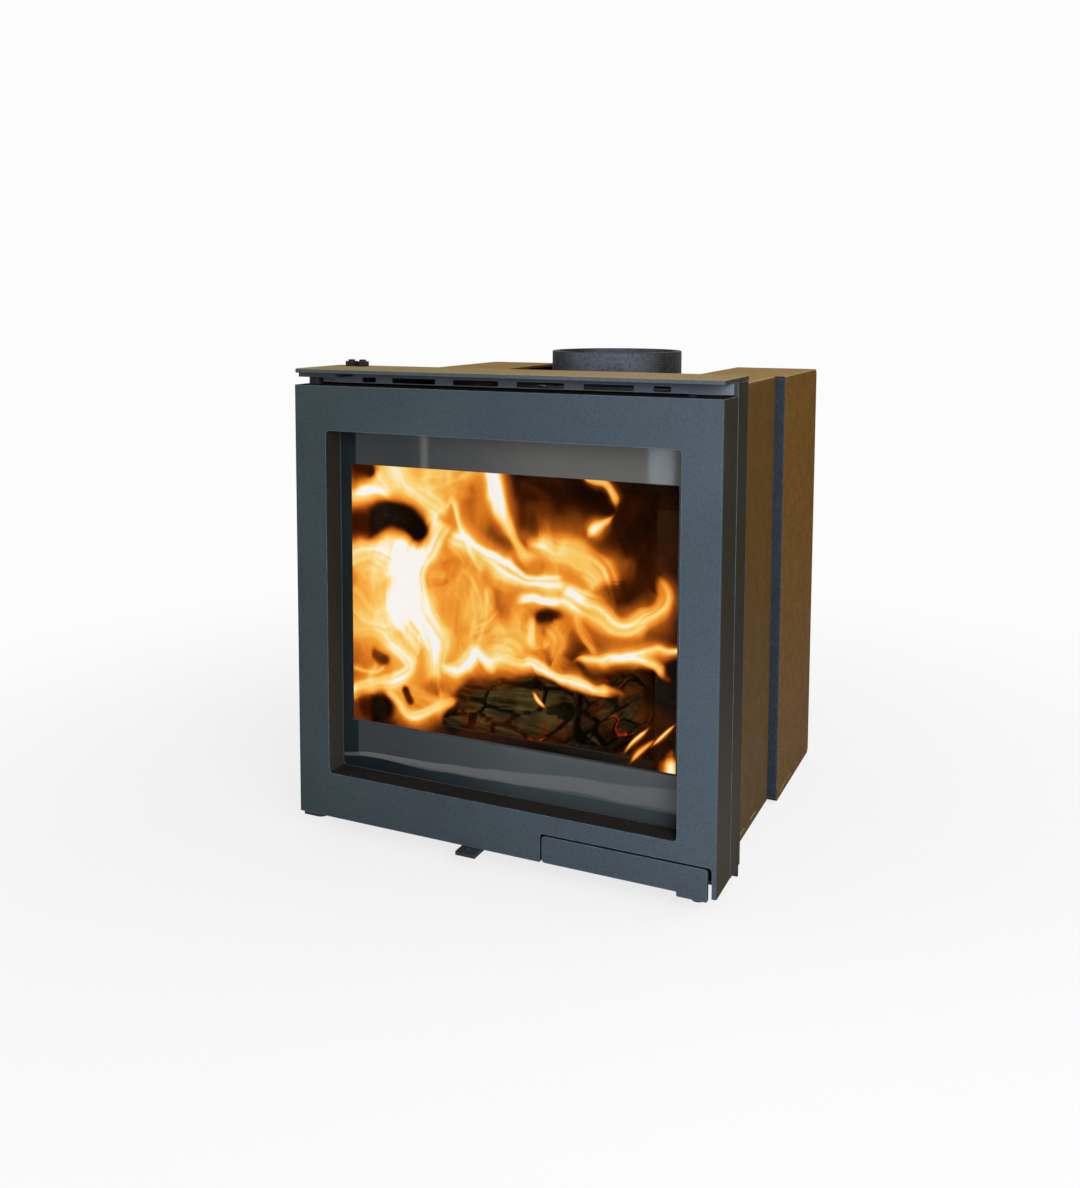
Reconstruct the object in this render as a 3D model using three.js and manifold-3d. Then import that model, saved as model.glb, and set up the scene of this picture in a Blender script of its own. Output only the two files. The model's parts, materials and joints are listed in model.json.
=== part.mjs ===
// Inset wood stove: a glazed door hung on two pins in a steel front frame, a bricked firebox behind it,
// and a convection casing that steps out into a rear jacket around the flue collar.
// Millimetres. X runs across, Y runs back from the door's face, Z runs up from the hearth.
import * as THREE from "three";
import { mergeVertices } from "three/addons/utils/BufferGeometryUtils.js";
import Module from "manifold-3d";

const wasm = await Module();
wasm.setup();

// ---------------------------------------------------------------- driving dimensions
const seatGap = 0.3; // air left between pieces that rest on each other
const cutOver = 1; // how far a cutter runs past the face it opens

// door
const doorWidth = 500;
const doorHeight = 502;
const doorDepth = 52;
const doorLift = 24; // door bottom above the hearth
const doorFace = 5; // front plate
const doorWall = 4; // edge walls and window reveal
const doorEdgeRadius = 3;
const stile = 42;
const topRail = 51;
const bottomRail = 52.5;
const windowCorner = 5;
const revealDepth = 30; // door face to the glass gasket
const gasketThickness = 2;
const glassThickness = 4;
const glassLap = 6; // glass behind the rails
const retainerThickness = 3;
const retainerLap = 4; // retainer over the glass, inside the window
const retainerReach = 30; // retainer outwards from the window edge
const screwInset = 12; // retainer screws outwards from the window edge
const screwBossRadius = 5;
const screwHeadRadius = 4;
const screwHeadHeight = 2.5;
const screwSpread = 0.3; // screws either side of the middle, as a share of the door's side
const sealInset = 15; // rope seal outwards from the window edge
const sealWidth = 11;
const sealSquash = 0.8; // seal back face to the front frame
const topButtonInset = 38; // from the latch edge
const topButtonRadius = 5;
const topButtonHeight = 2.2;
const topButtonBack = 20;

// door gap and front frame
const doorGap = 1; // door back to the frame
const frameWall = 4;
const frameDepth = 39;
const frameDrop = 0.7; // frame bottom below the door bottom
const mouthStile = 60; // frame beside the mouth
const mouthRail = 42; // frame under the mouth, above the door's bottom
const mouthHead = 48; // frame over the mouth, below the door's top
const frameHead = 2; // solid flange ends this far below the door's top

// cover plate and outlet band
const headroom = 13.5; // door top to the cover plate
const plateThickness = 5;
const plateSetBack = 1.5; // behind the door face
const plateDepth = 94;
const plateEdge = 1.2;
const bandSetBack = 40; // behind the door face
const bandThickness = 3;
const bandFloor = 1.3; // above the door's top
const bandInset = 1.5; // from the ends of the door
const slotHeight = 5.8;
const slotSill = 0.9; // above the band's lower edge
const slotLength = 55.5;
const shortSlotLength = 18.5;
const slotPitch = 77.5;
const shortSlotCentre = 174.5;

// hinges
const pinInset = 20; // from the door's hinge edge
const pinBack = 16; // behind the door face
const pinRadius = 5;
const pinGap = 0.4; // running clearance round a pin
const pinReach = 24; // pin inside the door
const bushRadius = 9;
const bushLength = 20;
const swingGap = 0.5; // door's back corner to the frame as it swings
const bracketThickness = 4.6;
const bracketInset = 3;
const bracketWidth = 50;
const bracketFront = 4; // behind the door face
const bracketCorner = 10;
const bottomBracketWidth = 28;
const washerRadius = 8;
const boltRadius = 4;
const nutAcross = 13;
const nutHeight = 6;
const boltStickOut = 2;
const boltSpacing = 15;
const boltBack = 74;
const boltInset = 31; // first bolt from the hinge edge

// handle and latch
const handleRight = 9.5; // handle end from the latch edge
const handleLength = 180.5;
const handleHeight = 29.5;
const handleCorner = 4;
const handleThickness = 5;
const handleGapLeft = 2.5;
const handleGapRight = 4.5;
const handleGapTop = 2.3;
const handleStep = 4.5; // lug below the handle's lower edge
const handleStepLength = 32;
const handleLip = 10; // finger lip behind the lower edge
const handlePocket = 30; // depth of the pocket in the door
const pivotFromEnd = 12; // pivot from the handle's latch end
const pivotBack = 10; // behind the door face
const pivotRadius = 3;
const pivotBossRadius = 8.5;
const pivotHeadRadius = 7;
const pivotHeadHeight = 3;
const pivotShelf = 4; // shelf over the pocket that holds the pivot
const tongueSill = 10; // above the door bottom
const tongueThickness = 6;
const tongueWidth = 12;
const tongueLength = 55; // behind the pivot
const tongueNose = 3;
const tongueSwing = 34; // room to the left for the tongue in the frame
const tongueSlotGap = 3; // frame slot over and under the tongue
const keeperGap = 3.2; // tongue to keeper
const keeperCorner = 2;
const keeperHeight = 20;
const keeperDepth = 18;

// casing and rear jacket
const casingSheet = 3;
const casingInset = 22.75; // casing side from the door's side
const ventHeight = 2.6; // low slots in the casing and jacket sides
const ventSill = 7; // above the casing's bottom
const ventLength = 28;
const ventPitch = 54;
const ventStart = 45; // first slot's middle behind the frame
const ventCount = 3;
const jacketVentLength = 72;
const jacketVentStart = 12; // behind the jacket's front
const casingLift = 5; // casing bottom above the hearth
const casingRise = 5; // casing top above the door's top
const foldRadius = 3; // top sheet folded down at its edges
const casingLength = 225; // front frame to jacket
const jacketStep = 12; // jacket outwards from the casing side
const jacketLength = 188;
const bendRadius = 4;
const notchWidth = 265; // flue notch in the casing top
const notchStart = 178; // behind the front frame
const notchDrop = 50; // notch in the back panel
const footRadius = 13;
const footShank = 4;
const footShankLength = 9;
const footInset = 30;

// firebox
const boxPlate = 5;
const boxLength = 423; // behind the frame's flange
const boxHead = 24; // firebox top below the door's top
const flueRadius = 77.5;
const flueWall = 8;
const flueClear = 18.5; // flue bore to the firebox back
const flueRise = 54; // above the firebox top
const collarFlange = 8;
const collarFlangeRadius = 104;
const collarBoltCircle = 94;
const collarBoltCount = 4;

// bricks and inner ironwork
const brickThickness = 25;
const hearthHeight = 60;
const wellWidth = 176;
const wellStart = 85; // behind the frame's flange
const wellLength = 150;
const grateThickness = 12;
const grateLedge = 12;
const grateSlots = 5;
const grateSlotWidth = 11;
const grateSlotEnd = 22; // solid end of the grate beyond its slots
const smokeRoomFront = 93; // side brick below the firebox top plate, at the front
const smokeRoomRear = 135; // and at the back
const baffleThickness = 20;
const baffleStart = 118; // behind the frame's flange
const guardThickness = 4;
const guardHeight = 38;
const guardInset = 6;
const deflectorHeight = 40;
const deflectorDepth = 34;
const deflectorSheet = 3;

// air slide
const leverOffset = -25; // from the stove's middle
const leverWidth = 24;
const leverThickness = 4;
const leverTip = 14; // in front of the door face
const leverDrop = 0.6; // below the frame
const leverHole = 3.5;
const damperWidth = 76;
const damperLength = 96;
const damperBack = 150; // damper front edge behind the door face
const portWidth = 44;
const portLength = 50;
const guideWall = 3;
const guideLip = 8;
const slideGap = 0.4;
const leverOut = 28; // travel outwards from rest
const leverIn = 6; // travel inwards from rest

// ---------------------------------------------------------------- levels and faces worked out
const side = doorWidth / 2;
const doorTop = doorLift + doorHeight;
const plateBottom = doorTop + headroom;
const frameFront = doorDepth + doorGap;
const flangeBack = frameFront + frameWall;
const frameBack = frameFront + frameDepth;
const frameBottom = doorLift - frameDrop;
const windowLeft = -side + stile;
const windowRight = side - stile;
const windowBottom = doorLift + bottomRail;
const windowTop = doorTop - topRail;
const glassFront = revealDepth + gasketThickness;
const retainerFront = glassFront + glassThickness;
const sealFront = retainerFront + retainerThickness;
const mouthHalf = side - mouthStile;
const mouthSill = doorLift + mouthRail;
const mouthTop = doorTop - mouthHead;
const pinX = -side + pinInset;
const pivotX = side - handleRight - pivotFromEnd;
const casingSide = side - casingInset;
const casingTop = doorTop + casingRise;
const jacketSide = casingSide + jacketStep;
const jacketFront = frameBack + casingLength;
const jacketBack = jacketFront + jacketLength;
const boxFloor = frameBottom + frameWall;
const boxTop = doorTop - boxHead;
const boxSide = mouthHalf + boxPlate;
const plateLow = boxFloor + boxPlate;
const plateHigh = boxTop - boxPlate;
const boxBack = flangeBack + boxLength;
const flueBack = boxBack - flueClear - flueRadius; // flue centre
const hearthTop = plateLow + hearthHeight;
const wellFront = flangeBack + wellStart;
const wellBack = wellFront + wellLength;
const brickBack = boxBack - boxPlate - seatGap;
const brickFace = brickBack - brickThickness;

// ---------------------------------------------------------------- finishes
const finish = (color, roughness, metalness) => () =>
  new THREE.MeshStandardMaterial({ color, roughness, metalness });
const stovePaint = finish(0x4c5a66, 0.55, 0.3);
const casingPaint = finish(0x50504e, 0.6, 0.3);
const darkSteel = finish(0x2c3034, 0.5, 0.6);
const zincSteel = finish(0x8d9092, 0.4, 0.8);
const castIron = finish(0x35383b, 0.75, 0.4);
const fireBrick = finish(0xb9a184, 0.95, 0);
const ropeSeal = finish(0x2a2a2a, 1, 0);
const doorGlass = () =>
  new THREE.MeshStandardMaterial({
    color: 0x1c2224,
    roughness: 0.08,
    metalness: 0,
    transparent: true,
    opacity: 0.4,
  });

// ---------------------------------------------------------------- shape helpers
const X = new THREE.Vector3(1, 0, 0);
const Y = new THREE.Vector3(0, 1, 0);
const Z = new THREE.Vector3(0, 0, 1);
const arcSteps = 5;
const flueFacets = 48;
const pinFacets = 32;
const rodFacets = 24;
const screwFacets = 16;
const hexSides = 6;
const edgeBreak = 1; // softened edge
const smallCorner = 2;

function box(x0, x1, y0, y1, z0, z1) {
  const g = new THREE.BoxGeometry(x1 - x0, y1 - y0, z1 - z0);
  return g.translate((x0 + x1) / 2, (y0 + y1) / 2, (z0 + z1) / 2);
}

// A closed outline with rounded corners; each corner is [x, y, radius].
function outline(corners, Kind = THREE.Shape) {
  const path = new Kind();
  corners.forEach(([x, y, r = 0], i) => {
    const before = corners[(i + corners.length - 1) % corners.length];
    const after = corners[(i + 1) % corners.length];
    const towards = ([tx, ty]) => {
      const d = Math.hypot(tx - x, ty - y);
      return [x + ((tx - x) * r) / d, y + ((ty - y) * r) / d];
    };
    const start = towards(before);
    const end = towards(after);
    if (i === 0) path.moveTo(...start);
    else path.lineTo(...start);
    if (r > 0) path.quadraticCurveTo(x, y, ...end);
  });
  path.closePath();
  return path;
}

function rectangle(x0, x1, y0, y1, r = 0, Kind = THREE.Shape) {
  const corners = [
    [x0, y0, r],
    [x1, y0, r],
    [x1, y1, r],
    [x0, y1, r],
  ];
  return outline(corners, Kind);
}

// Extrudes a plan outline (x, y) upwards from z0 to z1.
function plan(shape, z0, z1, options = {}) {
  const settings = { depth: z1 - z0, bevelEnabled: false, curveSegments: arcSteps, ...options };
  return new THREE.ExtrudeGeometry(shape, settings).translate(0, 0, z0);
}

// Extrudes a front outline (x, z) from y0 back to y1.
function front(shape, y0, y1) {
  const g = plan(shape, 0, y1 - y0);
  return g.applyMatrix4(new THREE.Matrix4().makeBasis(X, Z, Y.clone().negate())).translate(0, y1, 0);
}

// Extrudes a side outline (y, z) from x0 to x1.
function profile(shape, x0, x1) {
  const g = plan(shape, 0, x1 - x0);
  return g.applyMatrix4(new THREE.Matrix4().makeBasis(Y, Z, X)).translate(x0, 0, 0);
}

// A solid of revolution about a vertical axis through (x, y); points are [radius, z].
function turned(points, x, y, segments = pinFacets) {
  const pairs = points.map(([r, z]) => new THREE.Vector2(r, z));
  const g = new THREE.LatheGeometry(pairs, segments);
  return g.rotateX(Math.PI / 2).translate(x, y, 0);
}

function rod(r, z0, z1, x, y, segments = rodFacets) {
  return turned(
    [
      [0, z0],
      [r, z0],
      [r, z1],
      [0, z1],
    ],
    x,
    y,
    segments,
  );
}

// A rod that lies along Y.
function crossRod(r, y0, y1, x, z, segments = screwFacets) {
  const g = new THREE.CylinderGeometry(r, r, y1 - y0, segments);
  return g.translate(x, (y0 + y1) / 2, z);
}

function hexagon(across, z0, z1, x, y) {
  return rod(across / 2 / Math.cos(Math.PI / hexSides), z0, z1, x, y, hexSides);
}

function solid(geometry) {
  const bare = geometry.clone();
  bare.deleteAttribute("normal");
  bare.deleteAttribute("uv");
  const merged = mergeVertices(bare, 1e-4);
  const vertProperties = new Float32Array(merged.attributes.position.array);
  const triVerts = new Uint32Array(merged.index.array);
  return new wasm.Manifold(new wasm.Mesh({ numProp: 3, vertProperties, triVerts }));
}

function geometryOf(body) {
  const mesh = body.getMesh();
  const g = new THREE.BufferGeometry();
  g.setAttribute("position", new THREE.BufferAttribute(mesh.vertProperties, 3));
  g.setIndex(new THREE.BufferAttribute(mesh.triVerts, 1));
  const flat = g.toNonIndexed();
  flat.computeVertexNormals();
  return flat;
}

function join(...pieces) {
  return geometryOf(pieces.map(solid).reduce((a, b) => a.add(b)));
}

function cut(piece, ...cutters) {
  return geometryOf(cutters.map(solid).reduce((a, b) => a.subtract(b), solid(piece)));
}

// ---------------------------------------------------------------- assembly groups
const insert = new THREE.Group();
const door = new THREE.Group();
const handle = new THREE.Group();
const airSlide = new THREE.Group();
door.position.set(pinX, pinBack, 0);
handle.position.set(pivotX - pinX, pivotBack - pinBack, 0);
insert.add(door, airSlide);
door.add(handle);

// Adds a named mesh; the geometry is given in the stove's frame, the mesh sits in its group's frame.
function add(group, name, geometry, material) {
  const origin = new THREE.Vector3();
  for (let g = group; g && g !== insert; g = g.parent) origin.add(g.position);
  const mesh = new THREE.Mesh(geometry.translate(-origin.x, -origin.y, -origin.z), material());
  mesh.name = name;
  group.add(mesh);
}

// ---------------------------------------------------------------- door
const handleLeft = side - handleRight - handleLength;
const handleEnd = side - handleRight;
const handleTop = doorLift + handleHeight;

// Plan of the door: square at the latch, with the hinge edge's back corner relieved round the pin.
function doorPlan(inset) {
  const reach = frameFront - swingGap - pinBack - inset;
  const edge = pinInset - inset;
  const back = doorDepth - inset;
  const edgeY = pinBack + Math.sqrt(reach ** 2 - edge ** 2);
  const from = Math.atan2(back - pinBack, -Math.sqrt(reach ** 2 - (back - pinBack) ** 2));
  const to = Math.atan2(edgeY - pinBack, -edge);
  const shape = new THREE.Shape();
  if (inset === 0) {
    shape.moveTo(-side, doorEdgeRadius);
    shape.quadraticCurveTo(-side, 0, -side + doorEdgeRadius, 0);
    shape.lineTo(side - doorEdgeRadius, 0);
    shape.quadraticCurveTo(side, 0, side, doorEdgeRadius);
    shape.lineTo(side, doorDepth);
  } else {
    const open = doorDepth + cutOver;
    shape.moveTo(-side + inset, doorFace);
    shape.lineTo(side - inset, doorFace);
    shape.lineTo(side - inset, open);
    shape.lineTo(pinX + reach * Math.cos(from), open);
  }
  shape.absarc(pinX, pinBack, reach, from, to, false);
  shape.closePath();
  return shape;
}

// A flat ring round the window, from `inner` to `outer` beyond the window's edge.
function windowRing(inner, outer, y0, y1) {
  const edges = (d, Kind) =>
    rectangle(
      windowLeft - d,
      windowRight + d,
      windowBottom - d,
      windowTop + d,
      Math.max(windowCorner + d, 1),
      Kind,
    );
  const shape = edges(outer, THREE.Shape);
  shape.holes.push(edges(inner, THREE.Path));
  return front(shape, y0, y1);
}

// Centres of the retainer's screws: two on each side of the window.
const screwPlaces = [-1, 1].flatMap((s) => [
  [s * doorWidth * screwSpread, windowBottom - screwInset],
  [s * doorWidth * screwSpread, windowTop + screwInset],
  [windowLeft - screwInset, (windowBottom + windowTop) / 2 + s * doorHeight * screwSpread],
  [windowRight + screwInset, (windowBottom + windowTop) / 2 + s * doorHeight * screwSpread],
]);

const pocketTop = handleTop + handleGapTop;

function doorFrame() {
  const shell = join(
    cut(
      plan(doorPlan(0), doorLift, doorTop),
      plan(doorPlan(doorWall), doorLift + doorWall, doorTop - doorWall),
      front(
        rectangle(windowLeft, windowRight, windowBottom, windowTop, windowCorner),
        -cutOver,
        doorFace + cutOver,
      ),
    ),
    windowRing(0, doorWall, doorFace / 2, revealDepth),
    ...screwPlaces.map(([x, z]) => crossRod(screwBossRadius, doorFace / 2, retainerFront, x, z)),
    box(
      pivotX - pivotBossRadius,
      side - doorWall / 2,
      doorFace / 2,
      pivotBack + pivotBossRadius,
      pocketTop,
      pocketTop + pivotShelf,
    ),
  );
  const pocket = front(
    outline([
      [handleLeft - handleGapLeft, doorLift - cutOver],
      [handleEnd + handleGapRight, doorLift - cutOver],
      [handleEnd + handleGapRight, pocketTop, handleCorner],
      [handleLeft - handleGapLeft, pocketTop, handleCorner],
    ]),
    -cutOver,
    handlePocket,
  );
  return cut(
    shell,
    pocket,
    rod(pivotRadius + pinGap, doorLift, pocketTop + pivotShelf + cutOver, pivotX, pivotBack),
    rod(pinRadius + pinGap, doorLift - cutOver, doorLift + doorWall + cutOver, pinX, pinBack),
    rod(pinRadius + pinGap, doorTop - doorWall - cutOver, doorTop + cutOver, pinX, pinBack),
  );
}
add(door, "door_frame", doorFrame(), stovePaint);

add(door, "glass_gasket", windowRing(0, glassLap, revealDepth, glassFront), ropeSeal);
add(
  door,
  "glass_pane",
  box(
    windowLeft - glassLap,
    windowRight + glassLap,
    glassFront,
    retainerFront,
    windowBottom - glassLap,
    windowTop + glassLap,
  ),
  doorGlass,
);
add(
  door,
  "glass_retainer",
  join(
    windowRing(-retainerLap, retainerReach, retainerFront, sealFront),
    ...screwPlaces.map(([x, z]) =>
      crossRod(screwHeadRadius, sealFront - seatGap, sealFront + screwHeadHeight, x, z),
    ),
  ),
  darkSteel,
);
add(
  door,
  "door_seal",
  windowRing(sealInset + screwHeadRadius / 2, sealInset + sealWidth, sealFront, frameFront - sealSquash),
  ropeSeal,
);

// Hinge bushes inside the door, top and bottom.
function bush(z0, z1) {
  const inner = pinRadius + pinGap;
  return turned(
    [
      [inner, z0],
      [bushRadius, z0],
      [bushRadius, z1],
      [inner, z1],
      [inner, z0],
    ],
    pinX,
    pinBack,
  );
}
const topBush = doorTop - doorWall;
const bottomBush = doorLift + doorWall;
add(door, "hinge_bush_top", bush(topBush - bushLength, topBush), zincSteel);
add(door, "hinge_bush_bottom", bush(bottomBush, bottomBush + bushLength), zincSteel);

const buttonX = side - topButtonInset;
add(
  door,
  "door_top_button",
  turned(
    [
      [0, doorTop],
      [topButtonRadius, doorTop],
      [topButtonRadius - edgeBreak, doorTop + topButtonHeight - edgeBreak / 2],
      [0, doorTop + topButtonHeight],
    ],
    buttonX,
    topButtonBack,
    rodFacets,
  ),
  zincSteel,
);

// ---------------------------------------------------------------- handle and latch
const tongueBottom = doorLift + tongueSill;
const tongueTop = tongueBottom + tongueThickness;
const lugBottom = doorLift - handleStep;

function handleFlap() {
  const face = front(
    outline([
      [handleLeft, doorLift + seatGap, handleCorner],
      [handleEnd - handleStepLength, doorLift + seatGap, edgeBreak],
      [handleEnd - handleStepLength, lugBottom, edgeBreak],
      [handleEnd, lugBottom, edgeBreak],
      [handleEnd, handleTop, handleCorner],
      [handleLeft, handleTop, handleCorner],
    ]),
    0,
    handleThickness,
  );
  const lip = box(
    handleLeft + handleCorner,
    pivotX,
    handleThickness / 2,
    handleThickness + handleLip,
    doorLift + seatGap,
    doorLift + seatGap + handleThickness / 2,
  );
  const boss = rod(pivotBossRadius, lugBottom, tongueBottom, pivotX, pivotBack);
  const bore = rod(pivotRadius + pinGap, lugBottom - cutOver, tongueBottom + cutOver, pivotX, pivotBack);
  return cut(join(face, lip, boss), bore);
}
add(handle, "handle_flap", handleFlap(), stovePaint);

// The tongue swings with the handle; its nose stands beside the keeper.
function latchTongue() {
  const halfWidth = tongueWidth / 2;
  const nose = pivotBack + tongueLength;
  const shape = outline([
    [pivotX - halfWidth, handleThickness + seatGap, smallCorner],
    [pivotX + halfWidth, handleThickness + seatGap, smallCorner],
    [pivotX + halfWidth, nose - tongueWidth - tongueNose],
    [pivotX + halfWidth + tongueNose, nose - tongueWidth, smallCorner],
    [pivotX + halfWidth + tongueNose, nose, tongueNose],
    [pivotX - halfWidth, nose, halfWidth],
  ]);
  const eye = rod(pivotRadius + pinGap, tongueBottom - cutOver, tongueTop + cutOver, pivotX, pivotBack);
  return cut(plan(shape, tongueBottom, tongueTop), eye);
}
add(handle, "latch_tongue", latchTongue(), darkSteel);

const pivotClipRadius = pivotBack - doorFace - seatGap;
add(
  door,
  "handle_pivot_pin",
  turned(
    [
      [0, lugBottom - seatGap - pivotHeadHeight],
      [pivotHeadRadius, lugBottom - seatGap - pivotHeadHeight],
      [pivotHeadRadius, lugBottom - seatGap],
      [pivotRadius, lugBottom - seatGap],
      [pivotRadius, pocketTop + pivotShelf + seatGap],
      [pivotClipRadius, pocketTop + pivotShelf + seatGap],
      [pivotClipRadius, pocketTop + pivotShelf + pivotHeadHeight],
      [0, pocketTop + pivotShelf + pivotHeadHeight],
    ],
    pivotX,
    pivotBack,
  ),
  zincSteel,
);

// ---------------------------------------------------------------- front frame, cover plate and band
function frontFrame() {
  const block = box(-side, side, frameFront, frameBack, frameBottom, plateBottom);
  const hollow = box(
    -side + frameWall,
    side - frameWall,
    flangeBack,
    frameBack + cutOver,
    boxFloor,
    plateBottom + cutOver,
  );
  const mouth = box(
    -mouthHalf,
    mouthHalf,
    frameFront - cutOver,
    flangeBack + cutOver,
    mouthSill,
    mouthTop,
  );
  const airGap = box(
    -side + frameWall,
    side - frameWall,
    frameFront - cutOver,
    flangeBack + cutOver,
    doorTop - frameHead,
    plateBottom + cutOver,
  );
  const latchSlot = box(
    pivotX - tongueSwing - tongueWidth / 2,
    side - frameWall,
    frameFront - cutOver,
    flangeBack + cutOver,
    tongueBottom - tongueSlotGap,
    tongueTop + tongueSlotGap,
  );
  return cut(block, hollow, mouth, airGap, latchSlot);
}
add(insert, "front_frame", frontFrame(), stovePaint);

// The keeper stands on the frame's side wall, beside the nose of the tongue.
const keeperLeft = pivotX + tongueWidth / 2 + tongueNose + keeperGap;
add(
  insert,
  "latch_keeper",
  plan(
    outline([
      [keeperLeft, flangeBack, keeperCorner],
      [side - frameWall, flangeBack],
      [side - frameWall, flangeBack + keeperDepth],
      [keeperLeft, flangeBack + keeperDepth, keeperCorner],
    ]),
    boxFloor,
    boxFloor + keeperHeight,
  ),
  darkSteel,
);

// Hinge bracket and bolt places shared by the plate, the bracket and the band.
const bracketLeft = -side + bracketInset;
const bracketTop = plateBottom;
const bracketBottom = bracketTop - bracketThickness;
const boltPlaces = [0, 1].map((i) => -side + boltInset + i * boltSpacing);

add(
  insert,
  "top_cover_plate",
  cut(
    plan(
      rectangle(
        -side + plateEdge,
        side - plateEdge,
        plateSetBack + plateEdge,
        plateSetBack + plateDepth - plateEdge,
        edgeBreak,
      ),
      plateBottom + plateEdge,
      plateBottom + plateThickness - plateEdge,
      { bevelEnabled: true, bevelThickness: plateEdge, bevelSize: plateEdge, bevelSegments: 2 },
    ),
    ...boltPlaces.map((x) =>
      rod(
        boltRadius + pinGap,
        plateBottom - cutOver,
        plateBottom + plateThickness + cutOver,
        x,
        boltBack,
      ),
    ),
  ),
  stovePaint,
);

// Round-ended slot cutter across the band.
function slotCutter(centre, length, z0) {
  const shape = rectangle(
    centre - length / 2,
    centre + length / 2,
    z0,
    z0 + slotHeight,
    slotHeight / 3,
  );
  return front(shape, bandSetBack - cutOver, bandSetBack + bandThickness + cutOver);
}

function outletBand() {
  const bottom = doorTop + bandFloor;
  const end = side - bandInset;
  const web = box(-end, end, bandSetBack, bandSetBack + bandThickness, bottom, plateBottom);
  const returns = [-1, 1].map((s) =>
    box(
      s > 0 ? end - bandThickness : -end,
      s > 0 ? end : -end + bandThickness,
      bandSetBack,
      frameFront,
      bottom,
      plateBottom,
    ),
  );
  const long = [-1.5, -0.5, 0.5, 1.5].map((n) => slotCutter(n * slotPitch, slotLength, bottom + slotSill));
  const short = [-1, 1].map((s) => slotCutter(s * shortSlotCentre, shortSlotLength, bottom + slotSill));
  const bracketNotch = box(
    bracketLeft - seatGap,
    bracketLeft + bracketWidth + seatGap,
    bandSetBack - cutOver,
    frameFront + cutOver,
    bracketBottom - seatGap,
    plateBottom + cutOver,
  );
  return cut(join(web, ...returns), ...long, ...short, bracketNotch);
}
add(insert, "outlet_band", outletBand(), stovePaint);

// ---------------------------------------------------------------- hinge brackets and pins
const holeAtPin = (z0, z1) => rod(pinRadius + seatGap, z0 - cutOver, z1 + cutOver, pinX, pinBack);
add(
  insert,
  "hinge_bracket_top",
  cut(
    plan(
      outline([
        [bracketLeft, bracketFront, smallCorner],
        [bracketLeft + bracketWidth, bracketFront, bracketCorner],
        [bracketLeft + bracketWidth, frameBack - bracketInset, smallCorner],
        [bracketLeft + frameWall, frameBack - bracketInset, smallCorner],
        [bracketLeft + frameWall, frameFront - seatGap],
        [bracketLeft, frameFront - seatGap, edgeBreak],
      ]),
      bracketBottom,
      bracketTop,
    ),
    holeAtPin(bracketBottom, bracketTop),
    ...boltPlaces.map((x) =>
      rod(boltRadius + pinGap, bracketBottom - cutOver, bracketTop + cutOver, x, boltBack),
    ),
  ),
  darkSteel,
);
add(
  insert,
  "hinge_pin_top",
  turned(
    [
      [0, doorTop - pinReach],
      [pinRadius, doorTop - pinReach],
      [pinRadius, doorTop + frameDrop],
      [washerRadius, doorTop + frameDrop],
      [washerRadius, bracketBottom],
      [pinRadius, bracketBottom],
      [pinRadius, bracketTop],
      [0, bracketTop],
    ],
    pinX,
    pinBack,
  ),
  zincSteel,
);

const lowBracketTop = frameBottom;
const lowBracketBottom = lowBracketTop - bracketThickness;
add(
  insert,
  "hinge_bracket_bottom",
  cut(
    plan(
      outline([
        [bracketLeft, bracketFront, smallCorner],
        [bracketLeft + bottomBracketWidth, bracketFront, bracketCorner],
        [bracketLeft + bottomBracketWidth, frameBack - bracketInset, smallCorner],
        [bracketLeft, frameBack - bracketInset, smallCorner],
      ]),
      lowBracketBottom,
      lowBracketTop,
    ),
    holeAtPin(lowBracketBottom, lowBracketTop),
  ),
  darkSteel,
);
add(
  insert,
  "hinge_pin_bottom",
  turned(
    [
      [0, lowBracketBottom],
      [pinRadius, lowBracketBottom],
      [pinRadius, lowBracketTop],
      [washerRadius, lowBracketTop],
      [washerRadius, doorLift - seatGap],
      [pinRadius, doorLift - seatGap],
      [pinRadius, doorLift + pinReach],
      [0, doorLift + pinReach],
    ],
    pinX,
    pinBack,
  ),
  zincSteel,
);

boltPlaces.forEach((x, i) => {
  const nutBottom = plateBottom + plateThickness;
  const bolt = join(
    rod(boltRadius, bracketBottom - nutHeight, nutBottom + nutHeight + boltStickOut, x, boltBack),
    hexagon(nutAcross, nutBottom, nutBottom + nutHeight, x, boltBack),
    hexagon(nutAcross, bracketBottom - nutHeight, bracketBottom, x, boltBack),
  );
  add(insert, `bracket_bolt_${i + 1}`, bolt, zincSteel);
});

// ---------------------------------------------------------------- casing and rear jacket
const sheetTop = casingTop - casingSheet;
const sheetFloor = casingLift + casingSheet;

// Plan of the casing's top and base: narrow behind the frame, wider at the jacket.
function casingPlan(notched) {
  const notch = notchWidth / 2;
  const notchFront = frameBack + notchStart;
  const rear = notched
    ? [
        [notch, jacketBack],
        [notch, notchFront, bendRadius],
        [-notch, notchFront, bendRadius],
        [-notch, jacketBack],
      ]
    : [];
  return outline([
    [-casingSide, frameBack],
    [casingSide, frameBack],
    [casingSide, jacketFront],
    [jacketSide, jacketFront],
    [jacketSide, jacketBack, bendRadius],
    ...rear,
    [-jacketSide, jacketBack, bendRadius],
    [-jacketSide, jacketFront],
    [-casingSide, jacketFront],
  ]);
}

const footPlaces = [-1, 1].flatMap((s) => [
  [s * (casingSide - footInset), frameBack + footInset],
  [s * (casingSide - footInset), jacketBack - footInset],
]);

// Outline of what a fold takes off a square edge at distance `edge`, on the side of sign s.
function foldShape(edge, s) {
  const start = edge - foldRadius - cutOver;
  const low = casingTop - foldRadius - cutOver;
  return outline([
    [s * start, casingTop],
    [s * edge, casingTop, foldRadius],
    [s * edge, low],
    [s * (edge + cutOver), low],
    [s * (edge + cutOver), casingTop + cutOver],
    [s * start, casingTop + cutOver],
  ]);
}

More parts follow.
